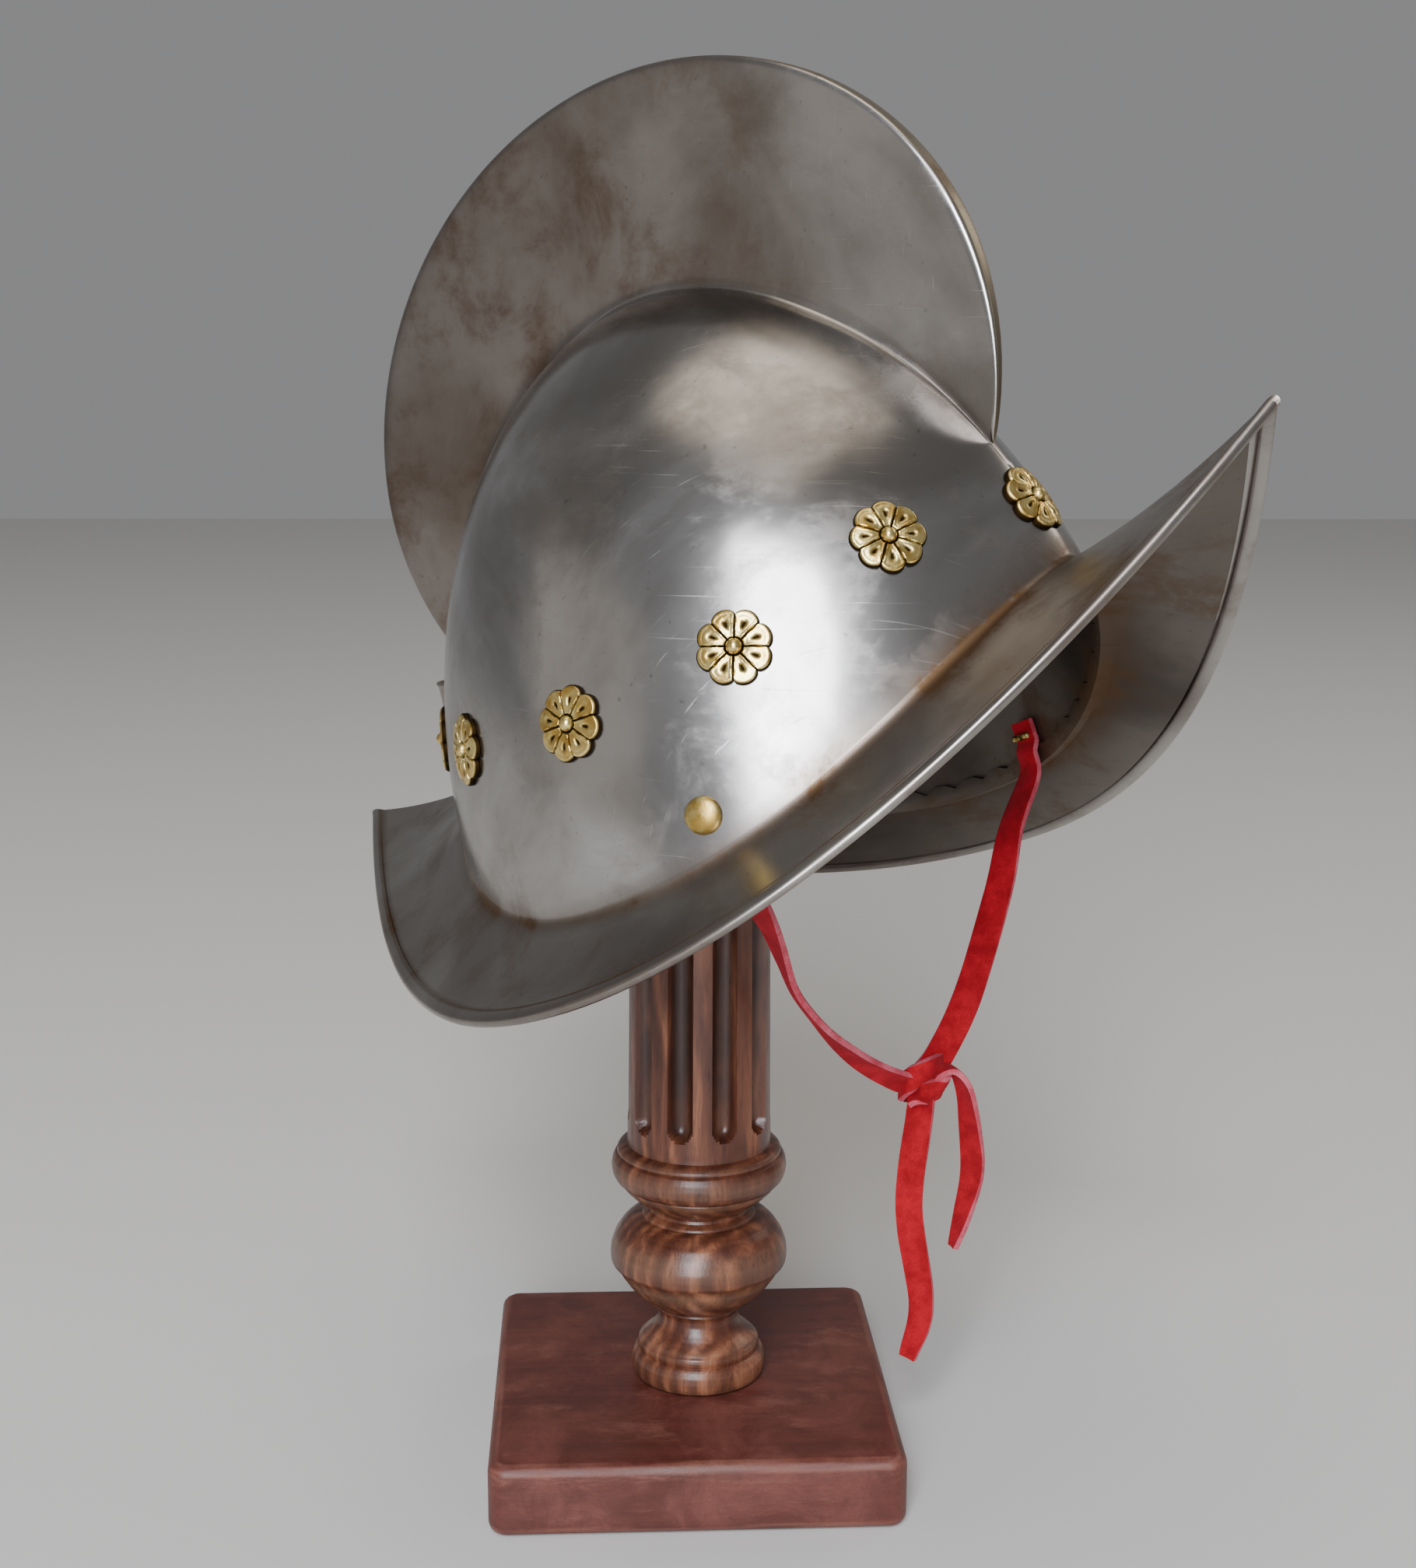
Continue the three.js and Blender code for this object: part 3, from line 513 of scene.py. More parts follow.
def rosette(name, turn, z, spin):
    """A cast rosette of eight petals, each a raised tear with a sunk face and a punched mark, round
    a knob. Its outline is scalloped and its edge slopes down to the bowl."""
    at = surface_frame(turn, z)
    petals, steps, rings = 8, 20, 40
    valley, lobe, knob, groove = 9.0, 1.7, 2.25, 2.45
    ground, rise, sink, knob_seat = 0.65, 1.3, 0.1, 1.2
    mark_at, mark_reach, mark_depth = 6.3, 1.25, 0.62
    around = petals * steps
    pitch = 2 * math.pi / petals
    angle = np.arange(around) * 2 * math.pi / around
    petal = (np.arange(around) % steps) / steps - 0.5
    outline = valley + lobe * np.cos(math.pi * petal) ** 0.6
    points, dirt_wear_and_painted_light = [], []
    for ring in range(rings + 1):
        radius = outline * ring / rings
        to_side = radius * np.sin((0.5 - np.abs(petal)) * pitch)
        to_rim = outline - radius
        to_knob = np.clip(radius - groove, 0, None)
        within = np.minimum(np.minimum(to_side, to_rim * 0.62), to_knob * 1.1)
        face = smoothstep(within, 0.0, 0.36)
        sunk = smoothstep(within, 0.6, 1.0)
        tear = 0.28 + 0.2 * np.clip(radius - 5, 0, 2)
        beside = radius * petal * pitch / tear
        mark = np.exp(-np.abs((radius - mark_at) / mark_reach) ** 3 - beside ** 2)
        h = ground + (rise - 0.03 * (radius - 6) ** 2) * face - sink * sunk - mark_depth * mark
        ball = np.sqrt(np.clip(knob ** 2 - radius ** 2, 0, None)) + knob_seat
        on_ball = radius < knob
        h = np.where(on_ball, ball, h)
        dirt = np.clip(1.2 * (1 - face) + 1.1 * mark, 0, 1)
        dirt_wear_and_painted_light.append(np.where(on_ball, 0.8 * smoothstep(radius, knob - 0.3, knob), dirt))
        points.append(on_bowl(at, radius * np.cos(angle + spin), radius * np.sin(angle + spin), h + GAP))
    foot = np.full(around, 0.1)
    points.append(on_bowl(at, outline * np.cos(angle + spin), outline * np.sin(angle + spin), foot))
    dirt_wear_and_painted_light.append(np.ones(around))
    faces = grid_faces(rings + 2, around, wrap=True)
    mesh_piece(
        name, from_helmet(np.concatenate(points)), faces, [aged_brass], [name],
        sharp=60, merge=0.002, dirt_wear_and_painted_light=np.concatenate(dirt_wear_and_painted_light))


# Where the rosettes sit, as shares of half a turn from the peak and of the bowl's height: the front
# one, and those of the right side, which the left mirrors.
ROSETTE_FRONT = (0.0, 0.344)
ROSETTES_BESIDE = [(0.197, 0.343), (0.333, 0.244), (0.483, 0.22), (0.636, 0.261), (0.785, 0.329)]


def rosettes():
    """All eleven, each turned a little further than the last, as they were put on by hand."""
    places = [("rosette_front", *ROSETTE_FRONT)]
    for number, (turn, height) in enumerate(ROSETTES_BESIDE, 1):
        places += [(f"rosette_right_{number}", -turn, height), (f"rosette_left_{number}", turn, height)]
    for number, (name, turn, height) in enumerate(places):
        rosette(name, turn * math.pi, height * BOWL_HEIGHT, 0.15 * number)


# The plume holder's wall from its foot up outside, over the rolled lip and down inside. Each place is
# a share of the half height, a distance in from the outside, and a step up the tube.
PLUME_WALL = [
    (-1, 1.5, 0), (-1, 0.4, 0.1), (-1, 0, 0.5), (-0.5, 0, 0), (0, 0, 0), (0.5, 0, 0),
    (1, 0, -1.6), (1, -0.35, -1.1), (1, -0.4, -0.5), (1, -0.1, 0), (1, 0.6, 0.05), (1, 1.0, -0.4),
    (0.5, 1, 0), (0, 1, 0), (-0.5, 1, 0), (-1, 1.2, 2.0), (-1, 3.0, 2.0),
]


def plume_holder():
    """A tapered tube rolled from sheet, with a lapped seam, a rolled lip and a closed foot."""
    foot = float(edge_height_at(np.array([math.pi]))[0]) + PLUME_ABOVE_BRIM
    top = ROOT[-1, 2] + PLUME_PAST_COMB
    at = surface_frame(math.pi, (foot + top) / 2)
    half = (top - foot) / at[2][2] / 2
    around = 64
    angle = np.arange(around) * 2 * math.pi / around
    lap = 1 + 0.05 * smoothstep(angle, 3.6, 3.66) * smoothstep(-angle, -5.2, -4.4)
    rows, dirt_wear_and_painted_light = [], []
    for share, wall, step in PLUME_WALL:
        along = share * half + step
        radius = PLUME_RADIUS + PLUME_FLARE * along / half
        out = GAP + radius + (radius - wall) * lap * np.sin(angle)
        rows.append(on_frame(at, (radius - wall) * lap * np.cos(angle), np.full(around, along), out))
        # The tube is painted dark inside, as shade, and has a little patina outside.
        dirt_wear_and_painted_light.append(np.full(around, 1.0 if wall >= 1 else 0.25))
    faces = grid_faces(len(rows), around, wrap=True)
    faces.append(tuple(range(around)))
    faces.append(tuple(len(rows) * around - 1 - i for i in range(around)))
    mesh_piece(
        "plume_holder_tube", from_helmet(np.concatenate(rows)), faces, [brim_steel],
        ["plume_holder"], dirt_wear_and_painted_light=np.concatenate(dirt_wear_and_painted_light))


# The strap's rivets: degrees round the bowl and height over its edge. Then a rivet's head and shank as
# radius and height, and one bent leg as its reach sideways, its height and its half width.
RIVET_RIGHT, RIVET_LEFT = (-70.5, 12.5), (73.5, 9.7)
RIVET_HEAD = [
    (1.25, -6.0), (1.25, 0.2), (5.0, 0.25), (5.2, 0.5), (5.15, 0.8), (4.8, 1.2), (4.1, 1.62),
    (3.1, 2.0), (1.9, 2.25), (0.8, 2.36), (0.02, 2.4),
]
RIVET_LEG = [(0.5, -5.4, 0.75), (1.6, -6.0, 0.85), (2.9, -6.0, 1.0), (3.7, -5.8, 0.95), (4.2, -5.5, 0.3)]


def rivet_frame(place):
    """A rivet's place on the bowl, with its directions."""
    turn = math.radians(place[0])
    return surface_frame(turn, float(edge_height_at(np.array([turn]))[0]) + place[1])


def strap_rivet(name, place):
    """A domed split rivet: its head outside and its two legs bent apart over the strap inside."""
    at = rivet_frame(place)
    around, leg_around = 32, 8
    angle = np.arange(around) * 2 * math.pi / around
    rows = [on_frame(at, r * np.cos(angle), r * np.sin(angle), np.full(around, h)) for r, h in RIVET_HEAD]
    points, faces = np.concatenate(rows), grid_faces(len(rows), around, wrap=True)
    ring = angle[::around // leg_around]
    for side in (-1, 1):
        leg = []
        for reach, depth, thick in RIVET_LEG:
            wide, deep = 1.1 * thick * np.cos(ring), depth + 0.7 * thick * np.sin(ring)
            leg.append(on_frame(at, np.full(leg_around, side * reach), wide, deep))
        faces += grid_faces(len(leg), leg_around, start=len(points), wrap=True)
        last = len(points) + (len(leg) - 1) * leg_around
        faces.append(tuple(last + i for i in range(leg_around)))
        points = np.concatenate([points] + leg)
    mesh_piece(
        name + "_split", from_helmet(points), faces, [aged_brass], [name],
        merge=0.002, dirt_wear_and_painted_light=np.full(len(points), 0.3))


# The suede strap.

def spline(points, count):
    """Even steps along a smooth curve through points."""
    points = np.asarray(points, float)
    padded = np.vstack([2 * points[0] - points[1], points, 2 * points[-1] - points[-2]])
    fine = []
    for i in range(1, len(padded) - 2):
        p0, p1, p2, p3 = padded[i - 1:i + 3]
        for t in np.linspace(0, 1, 40, endpoint=False):
            bend = (2 * p0 - 5 * p1 + 4 * p2 - p3) * t ** 2
            twist = (3 * p1 - p0 - 3 * p2 + p3) * t ** 3
            fine.append(0.5 * (2 * p1 + (p2 - p0) * t + bend + twist))
    fine.append(points[-1])
    fine = np.array(fine)
    run = run_length(fine)
    want = np.linspace(0, 1, count)
    return np.stack([np.interp(want, run, fine[:, k]) for k in range(3)], -1)


# The strap's section, as shares of its half width and half thickness: one face with its corners, and
# the whole way round. The faces that start at the places in STRAP_CUT are the cut edges.
STRAP_FACE = [
    (-1, -0.8), (-0.985, -0.95), (-0.93, -1), (-0.6, -1), (-0.2, -1),
    (0.2, -1), (0.6, -1), (0.93, -1), (0.985, -0.95), (1, -0.8),
]
STRAP_SECTION = STRAP_FACE + [(1, -0.2), (1, 0.3)] + [(a, -b) for a, b in reversed(STRAP_FACE)]
STRAP_SECTION += [(-1, 0.3), (-1, -0.2)]
STRAP_CUT = {8, 9, 10, 11, 12, 20, 21, 22, 23}


def strap_piece(name, points, sides, node, seed, width, steps=90, cup=0.35, taper=0.0):
    """A strap cut from suede: flat faces, squared cut edges, a little cupped and uneven. At each of
    its points, sides says which way its width runs."""
    path = spline(points, steps)
    across = spline(sides, steps)
    tangent = np.gradient(path, axis=0)
    tangent /= np.linalg.norm(tangent, axis=1)[:, None]
    across = across - (across * tangent).sum(1)[:, None] * tangent
    across /= np.linalg.norm(across, axis=1)[:, None]
    through = np.cross(tangent, across)
    random = np.random.default_rng(seed)
    wave = np.interp(np.arange(steps), np.linspace(0, steps, 14), random.normal(0, 0.25, 14))
    wander = np.interp(np.arange(steps), np.linspace(0, steps, 10), random.normal(0, 0.25, 10))
    rows = []
    for s in range(steps):
        w = (width / 2) * (1 + 0.05 * wander[s]) * (1 - taper * (s / (steps - 1)) ** 8)
        ring = []
        for a, b in STRAP_SECTION:
            bow = cup * (a * a - 0.4) + 0.35 * wave[s] * a
            ring.append(path[s] + across[s] * a * w + through[s] * (b * (STRAP_THICK / 2) + bow))
        rows.append(ring)
    count = len(STRAP_SECTION)
    faces = grid_faces(steps, count, wrap=True)
    face_material = [1 if j in STRAP_CUT else 0 for _ in range(steps - 1) for j in range(count)]
    faces += [tuple(range(count)), tuple((steps - 1) * count + i for i in range(count))[::-1]]
    face_material += [1, 1]
    mesh_piece(
        name, np.array(rows).reshape(-1, 3), faces, [red_suede, cut_edge], [node],
        face_material, sharp=50)


def strap_length(name, place, route, node, seed):
    """A length of strap from behind its rivet, over the turned-up edge of the brim and down to the
    knot. Each place of the route is a point seen from the knot, and the way the width runs."""
    at = rivet_frame(place)
    above = place[1]
    depth = -(SHEET + 3 * GAP + STRAP_THICK / 2)
    clear = depth - SHEET - 1.5 * GAP
    start = [
        (STRAP_WIDTH / 2, depth), (0, depth), (-2.2, depth), (FLANGE + SHEET - above, clear),
        (-FLANGE - above, clear - STRAP_THICK),
    ]
    points = [from_helmet(on_frame(at, 0.0, float(up), float(out))) for up, out in start]
    points += [KNOT + point for point, _ in route]
    sides = [HELMET @ at[1]] * len(start) + [side for _, side in route]
    strap_piece(name, points, sides, node, seed, width=9.2, steps=120)


def tied_piece(name, route, node, seed, **cut):
    """A stretch of strap at the knot, with its route as for strap_length."""
    strap_piece(name, [KNOT + point for point, _ in route], [side for _, side in route], node, seed, **cut)


def chin_strap():
    """Two lengths from the rivets, the turn that one takes round the other, and two loose tails."""
    strap_length("strap_right_length", RIVET_RIGHT, [
        ((-54, -54, 65), (0.7, -0.5, 0.5)), ((-43, -36, 38), (0.5, -0.8, 0.2)),
        ((-24, -14, 13), (0.3, -0.9, -0.3)), ((-8, -4, 1), (0.2, -0.7, 0.6)),
        ((2, 0, -2), (0.1, -0.5, 0.8)),
    ], "chin_strap_right", 3)
    strap_length("strap_left_length", RIVET_LEFT, [
        ((31.5, 28, 76), (-0.45, 0.9, -0.15)), ((27, 23, 56), (-1, 0.3, -0.3)),
        ((16, 11, 25), (-1, 0.3, 0)), ((6, 2, 8), (-1, 0.2, 0.2)), ((0, 1, 0), (-0.9, 0.1, 0.5)),
    ], "chin_strap_left", 5)
    tied_piece("knot_turn", [
        ((7, 3, 4), (0.1, 0.3, 1)), ((2.5, -4, 5), (0.2, 0, 1)), ((-4, -5, 2), (0.1, 0, 1)),
        ((-6.5, -1, -3), (0.3, 0, 1)), ((-3, 4, -5), (0.2, 0, 1)), ((3.5, 3.5, -2), (0.1, 0, 1)),
        ((7, 0, 1), (0, 0, 1)), ((5.5, -4.2, -1.5), (0.2, 0, 1)), ((0, -5.5, -3), (0.4, 0, 1)),
        ((-3.5, -4, -6.5), (0.8, 0, 0.6)),
    ], "strap_knot", 7, width=7.2, steps=100, cup=0.6)
    tied_piece("strap_tail_down", [
        ((0, -2.5, -1), (0.9, -0.6, 0)), ((-1, -2.5, -12), (1, -0.35, 0)),
        ((-3.5, -1, -43), (1, -0.1, 0)), ((1.5, 0, -77), (0.95, -0.3, 0)),
        ((-2.5, 0.5, -96), (0.8, -0.55, 0.2)),
    ], "strap_tail_long", 11, width=8.8, taper=0.35)
    tied_piece("strap_tail_over", [
        ((2, 0, -1), (0.2, -1, 0.1)), ((5, -2, 3.4), (0.25, -1, 0)), ((9.5, -2.6, 3.8), (0.35, -1, 0)),
        ((13.5, -2.2, -3), (0.75, -0.8, 0)), ((16, -1, -18), (0.85, -0.6, 0)),
        ((17, 0, -32), (0.6, -0.8, 0)), ((14.5, 0.5, -46), (0.45, -0.9, 0)),
        ((11.5, 0, -57.5), (0.3, -1, 0)),
    ], "strap_tail_short", 13, width=8.0, taper=0.5)


# The stand.

# The turning from the block up: shares of its height and of its greatest radius, with fine grooves.
TURNING = [
    (0, 0.69), (0.012, 0.735), (0.03, 0.755), (0.055, 0.763), (0.08, 0.757), (0.1, 0.735),
    (0.112, 0.705), (0.116, 0.684), (0.122, 0.69), (0.136, 0.692), (0.15, 0.683), (0.156, 0.665),
    (0.166, 0.64), (0.18, 0.59), (0.198, 0.535), (0.222, 0.48), (0.25, 0.45), (0.272, 0.445),
    (0.284, 0.452), (0.288, 0.47), (0.297, 0.483), (0.306, 0.475), (0.309, 0.5), (0.318, 0.555),
    (0.348, 0.66), (0.39, 0.785), (0.444, 0.89), (0.47, 0.925), (0.484, 0.945), (0.488, 0.95),
    (0.491, 0.985), (0.502, 0.998), (0.53, 1.003), (0.561, 0.995), (0.604, 0.955), (0.645, 0.88),
    (0.668, 0.815), (0.684, 0.74), (0.69, 0.69), (0.692, 0.645), (0.7, 0.632), (0.706, 0.6),
    (0.714, 0.56), (0.724, 0.548), (0.734, 0.56), (0.739, 0.585), (0.743, 0.615), (0.765, 0.7),
    (0.786, 0.77), (0.812, 0.845), (0.831, 0.885), (0.836, 0.88), (0.841, 0.905), (0.853, 0.945),
    (0.874, 0.975), (0.904, 0.988), (0.934, 0.975), (0.955, 0.945), (0.962, 0.915), (0.967, 0.925),
    (0.977, 0.92), (0.987, 0.895), (0.994, 0.855), (1, 0.81),
]
TURNING_HEIGHT, TURNING_RADIUS = 79.0, 28.4
SHAFT_FOOT, SHAFT_TOP = 22.9, 21.0
FLUTE_COUNT, FLUTE_RADIUS, FLUTE_FOOT, FLUTE_DEPTH = 10, 3.7, 7.0, 2.5


def stand_column():
    """The turned foot and ball, and the fluted shaft that ends in a half ball inside the bowl."""
    low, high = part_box("stand_column")
    foot, top = low[2] / MM, high[2] / MM
    centre = top - SHAFT_TOP
    keys = np.array(TURNING)
    fine = np.linspace(0, len(keys) - 1, 4 * len(keys))
    ups = np.interp(fine, np.arange(len(keys)), keys[:, 0])
    outs = np.interp(ups, keys[:, 0], keys[:, 1])
    profile = [(foot + up * TURNING_HEIGHT, out * TURNING_RADIUS, False) for up, out in zip(ups, outs)]
    shaft_foot = foot + TURNING_HEIGHT
    for share in np.concatenate([np.linspace(0.004, 0.1, 26), np.linspace(0.11, 1, 60)]):
        radius = SHAFT_FOOT + (SHAFT_TOP - SHAFT_FOOT) * share
        profile.append((shaft_foot + (centre - shaft_foot) * share, radius, True))
    for lean in np.radians(np.linspace(6, 88, 14)):
        profile.append((centre + SHAFT_TOP * math.sin(lean), SHAFT_TOP * math.cos(lean), False))
    around = 240
    angle = np.arange(around) * 2 * math.pi / around
    beside = ((angle * FLUTE_COUNT / (2 * math.pi) + 0.5) % 1 - 0.5) * 2 * math.pi / FLUTE_COUNT
    cutter = SHAFT_TOP + FLUTE_RADIUS - FLUTE_DEPTH
    side = cutter * np.sin(beside)
    first = shaft_foot + FLUTE_FOOT + FLUTE_RADIUS
    rows, dirt_wear_and_painted_light = [], []
    for z, radius, fluted in profile:
        ring = np.full(around, radius)
        if fluted:
            reach = math.sqrt(max(FLUTE_RADIUS ** 2 - max(first - z, 0) ** 2, 0))
            floor = cutter * np.cos(beside) - np.sqrt(np.clip(reach ** 2 - side ** 2, 0, None))
            ring = np.where(np.abs(side) < reach, np.minimum(ring, floor), ring)
        rows.append(np.stack([ring * np.cos(angle), ring * np.sin(angle), np.full(around, z)], -1) + COLUMN)
        # The flutes are painted darker towards their floors, as shade.
        dirt_wear_and_painted_light.append(np.clip((radius - ring) / FLUTE_DEPTH, 0, 1))
    # The grooves of the turning are painted darker, as shade, and its ridges, below nought, are rubbed pale.
    smooth = np.convolve(np.pad(outs, 6, "edge"), np.ones(13) / 13, "valid")
    for i, groove in enumerate(np.clip((smooth - outs) * 14, -1, 1)):
        dirt_wear_and_painted_light[i] = np.full(around, groove)
    points = np.concatenate(rows)
    faces = grid_faces(len(rows), around, wrap=True)
    faces.append(tuple(range(around))[::-1])
    faces.append(tuple(len(points) - around + i for i in range(around)))
    mesh_piece(
        "turned_column", points, faces, [waxed_wood], ["stand_column"],
        sharp=36, dirt_wear_and_painted_light=np.concatenate(dirt_wear_and_painted_light))


def block_ring(inset, z):
    """Once round the block at a height, with its four corners rounded."""
    corners = [(1, 1), (-1, 1), (-1, -1), (1, -1)]
    middle, r = BLOCK_SIDE / 2 - BLOCK_CORNER, max(BLOCK_CORNER - inset, 0.3)
    ring = []
    for quarter in range(4):
        cx, cy = [sign * middle for sign in corners[quarter]]
        nx, ny = [sign * middle for sign in corners[(quarter + 1) % 4]]
        for a in [math.radians(quarter * 90 + step * 90 / 8) for step in range(9)]:
            ring.append((cx + r * math.cos(a), cy + r * math.sin(a), z))
        for t in np.linspace(0, 1, 24)[1:-1]:
            ring.append((cx + (nx - cx) * t + r * math.cos(a), cy + (ny - cy) * t + r * math.sin(a), z))
    return ring


def stand_block():
    """The block with rounded edges and corners. Its arrises are a little uneven from wear, and painted
    paler, part wear and part painted highlight.
    """
    bends = np.linspace(0, math.pi / 2, 7)
    rounded = [(BLOCK_EDGE * (1 - math.sin(t)), BLOCK_EDGE * (1 - math.cos(t))) for t in bends]
    sides = [(0.0, z) for z in np.linspace(BLOCK_EDGE, BLOCK_HEIGHT - BLOCK_EDGE, 7)[1:-1]]
    levels = rounded + sides + [(inset, BLOCK_HEIGHT - z) for inset, z in reversed(rounded)]
    rows = np.array([block_ring(inset, z) for inset, z in levels])
    count = rows.shape[1]
    random = np.random.default_rng(4)
    wear = random.normal(0, 1, (len(levels), count))
    for _ in range(3):
        wear = (np.roll(wear, 1, 1) + wear + np.roll(wear, -1, 1)) / 3
    rows[1:-1, :, 2] += wear[1:-1] * 0.12
    # The arrises are painted paler: part wear, part painted highlight.
    edges = np.array([1.0 if 0 < inset < BLOCK_EDGE else 0.0 for inset, _ in levels])[:, None]
    worn_and_highlit = edges * np.clip(0.45 + 1.2 * wear, 0, 1)
    points = rows.reshape(-1, 3)
    faces = grid_faces(len(levels), count, wrap=True)
    faces.append(tuple(range(count))[::-1])
    faces.append(tuple(len(points) - count + i for i in range(count)))
    mesh_piece(
        "wooden_block", points, faces, [stained_block], ["stand_block"],
        sharp=40, dirt_wear_and_painted_light=worn_and_highlit)


# Materials.

# Settings that many nodes share: a soft ramp, and a mix of two colours.
SMOOTH = {"interpolation_type": "SMOOTHSTEP"}
COLOURS = {"data_type": "RGBA"}

# A mix's sockets share their names between kinds of value, so those for colours go by number.
SHARE, UNDER, OVER, MIXED = 0, 6, 7, 2


def linear(code):
    """An sRGB hex colour as linear light."""
    parts = [int(code[i:i + 2], 16) / 255 for i in (0, 2, 4)]
    return tuple(c / 12.92 if c <= 0.04045 else ((c + 0.055) / 1.055) ** 2.4 for c in parts) + (1.0,)


def sized(*sizes):
    """A pattern's scale from the real size of its grain in millimetres, or from one for each axis."""
    scales = tuple(1 / (size * MM) for size in sizes)
    return scales if len(scales) > 1 else scales[0]


def add(tree, kind, inputs, **settings):
    """Adds a node with its settings. Each input is a socket to join or a value to set, and those of
    a sum go by number, in their order."""
    node = tree.nodes.new(kind)
    for name, value in settings.items():
        setattr(node, name, value)
    for name, value in inputs.items():
        if isinstance(value, bpy.types.NodeSocket):
            tree.links.new(value, node.inputs[name])
        else:
            node.inputs[name].default_value = value
    return node


def material(name):
    """A new material, its tree, its shader and the place on the object."""
    made = bpy.data.materials.new(name)
    made.use_nodes = True
    tree = made.node_tree
    tree.nodes.clear()
    shader = add(tree, "ShaderNodeBsdfPrincipled", {})
    add(tree, "ShaderNodeOutputMaterial", {"Surface": shader.outputs[0]})
    return made, tree, shader, add(tree, "ShaderNodeTexCoord", {}).outputs["Object"]


def steel(name, light, dark, stain, rough, dents):
    """Sheet steel raised, planished and polished by hand, then handled for years. The light breaks
    softly over the long waves that the hammer left, clouds of dull grey lie over the polish, and
    brown patina stays in the creases together with painted shade; on the comb the brown is also a
    painted reflection."""
    made, tree, shader, place = material(name)
    shader.inputs["Metallic"].default_value = 1.0
    clouds = add(tree, "ShaderNodeTexNoise", {
        "Vector": place, "Scale": sized(95), "Detail": 6, "Roughness": 0.55, "Distortion": 0.5})
    smears = add(tree, "ShaderNodeTexNoise", {
        "Vector": place, "Scale": sized(34), "Detail": 8, "Roughness": 0.68, "Distortion": 0.3})
    specks = add(tree, "ShaderNodeTexNoise", {
        "Vector": place, "Scale": sized(2.2), "Detail": 3, "Roughness": 0.6})
    waves = add(tree, "ShaderNodeTexNoise", {
        "Vector": place, "Scale": sized(30), "Detail": 1.5, "Roughness": 0.4})
    dirt_wear_and_painted_light = add(tree, "ShaderNodeAttribute", {}, attribute_name="dirt_wear_and_painted_light").outputs["Fac"]
    cloudy = add(tree, "ShaderNodeMapRange", {
        "Value": clouds.outputs["Fac"], "From Min": 0.38, "From Max": 0.64}, **SMOOTH)
    smeared = add(tree, "ShaderNodeMapRange", {
        "Value": smears.outputs["Fac"], "From Min": 0.47, "From Max": 0.66}, **SMOOTH)
    speckled = add(tree, "ShaderNodeMapRange", {
        "Value": specks.outputs["Fac"], "From Min": 0.66, "From Max": 0.74, "To Max": 0.3})
    # Long scratches in two directions, only where the noise is highest. They are half a millimetre
    # wide, coarser than real ones, so that they show.
    marks = []
    for turn, size in (((0.3, 0.9, 0.5), (60, 0.5, 12)), ((1.1, -0.4, 1.7), (70, 14, 0.6))):
        lay = add(tree, "ShaderNodeMapping", {"Vector": place, "Rotation": turn, "Scale": sized(*size)})
        lines = add(tree, "ShaderNodeTexNoise", {
            "Vector": lay.outputs[0], "Scale": 1, "Detail": 2, "Roughness": 0.6})
        scored = add(tree, "ShaderNodeMapRange", {
            "Value": lines.outputs["Fac"], "From Min": 0.67, "From Max": 0.8})
        marks.append(scored.outputs[0])
    scratches = add(tree, "ShaderNodeMath", {0: marks[0], 1: marks[1]}, operation="MAXIMUM")
    body = add(tree, "ShaderNodeMix", {
        SHARE: cloudy.outputs[0], UNDER: linear(light), OVER: linear(dark)}, **COLOURS)
    # Dirt and painted shade keep to the creases, broken up by the smears; on the comb the same brown is part
    # patina, part painted reflection.
    held = add(tree, "ShaderNodeMath", {0: smears.outputs["Fac"], 1: 0.25}, operation="ADD")
    crease = add(tree, "ShaderNodeMath", {
        0: dirt_wear_and_painted_light, 1: held.outputs[0]}, operation="MULTIPLY", use_clamp=True)
    patina_shade_and_reflection = add(tree, "ShaderNodeMath", {
        0: smeared.outputs[0], 1: stain, 2: crease.outputs[0]}, operation="MULTIPLY_ADD", use_clamp=True)
    browned = add(tree, "ShaderNodeMix", {
        SHARE: patina_shade_and_reflection.outputs[0], UNDER: body.outputs[MIXED], OVER: linear("624c38")}, **COLOURS)
    pitted = add(tree, "ShaderNodeMix", {
        SHARE: speckled.outputs[0], UNDER: browned.outputs[MIXED], OVER: linear("2f2824")}, **COLOURS)
    tree.links.new(pitted.outputs[MIXED], shader.inputs["Base Color"])
    hazed = add(tree, "ShaderNodeMath", {0: smeared.outputs[0], 1: 0.13, 2: rough}, operation="MULTIPLY_ADD")
    dulled = add(tree, "ShaderNodeMath", {
        0: crease.outputs[0], 1: 0.2, 2: hazed.outputs[0]}, operation="MULTIPLY_ADD")
    scored = add(tree, "ShaderNodeMath", {
        0: scratches.outputs[0], 1: 0.16, 2: dulled.outputs[0]}, operation="MULTIPLY_ADD")
    tree.links.new(scored.outputs[0], shader.inputs["Roughness"])
    hammered = add(tree, "ShaderNodeBump", {
        "Height": waves.outputs["Fac"], "Strength": 1.0, "Distance": dents * MM})
    scratched = add(tree, "ShaderNodeBump", {
        "Height": scratches.outputs[0], "Normal": hammered.outputs[0], "Strength": 0.35,
        "Distance": 0.02 * MM}, invert=True)
    tree.links.new(scratched.outputs[0], shader.inputs["Normal"])
    return made


polished_steel = steel("hand_polished_sheet_steel", "c0bebc", "8f8b86", 0.24, 0.19, 0.55)
rim_steel = steel("filed_steel_rim", "9a917f", "776c5a", 0.5, 0.36, 0.2)
brim_steel = steel("planished_brim_steel", "aaa6a0", "87807a", 0.4, 0.28, 0.7)
dull_steel = steel("unpolished_steel_inside", "6f6861", "4d4640", 0.6, 0.45, 0.6)


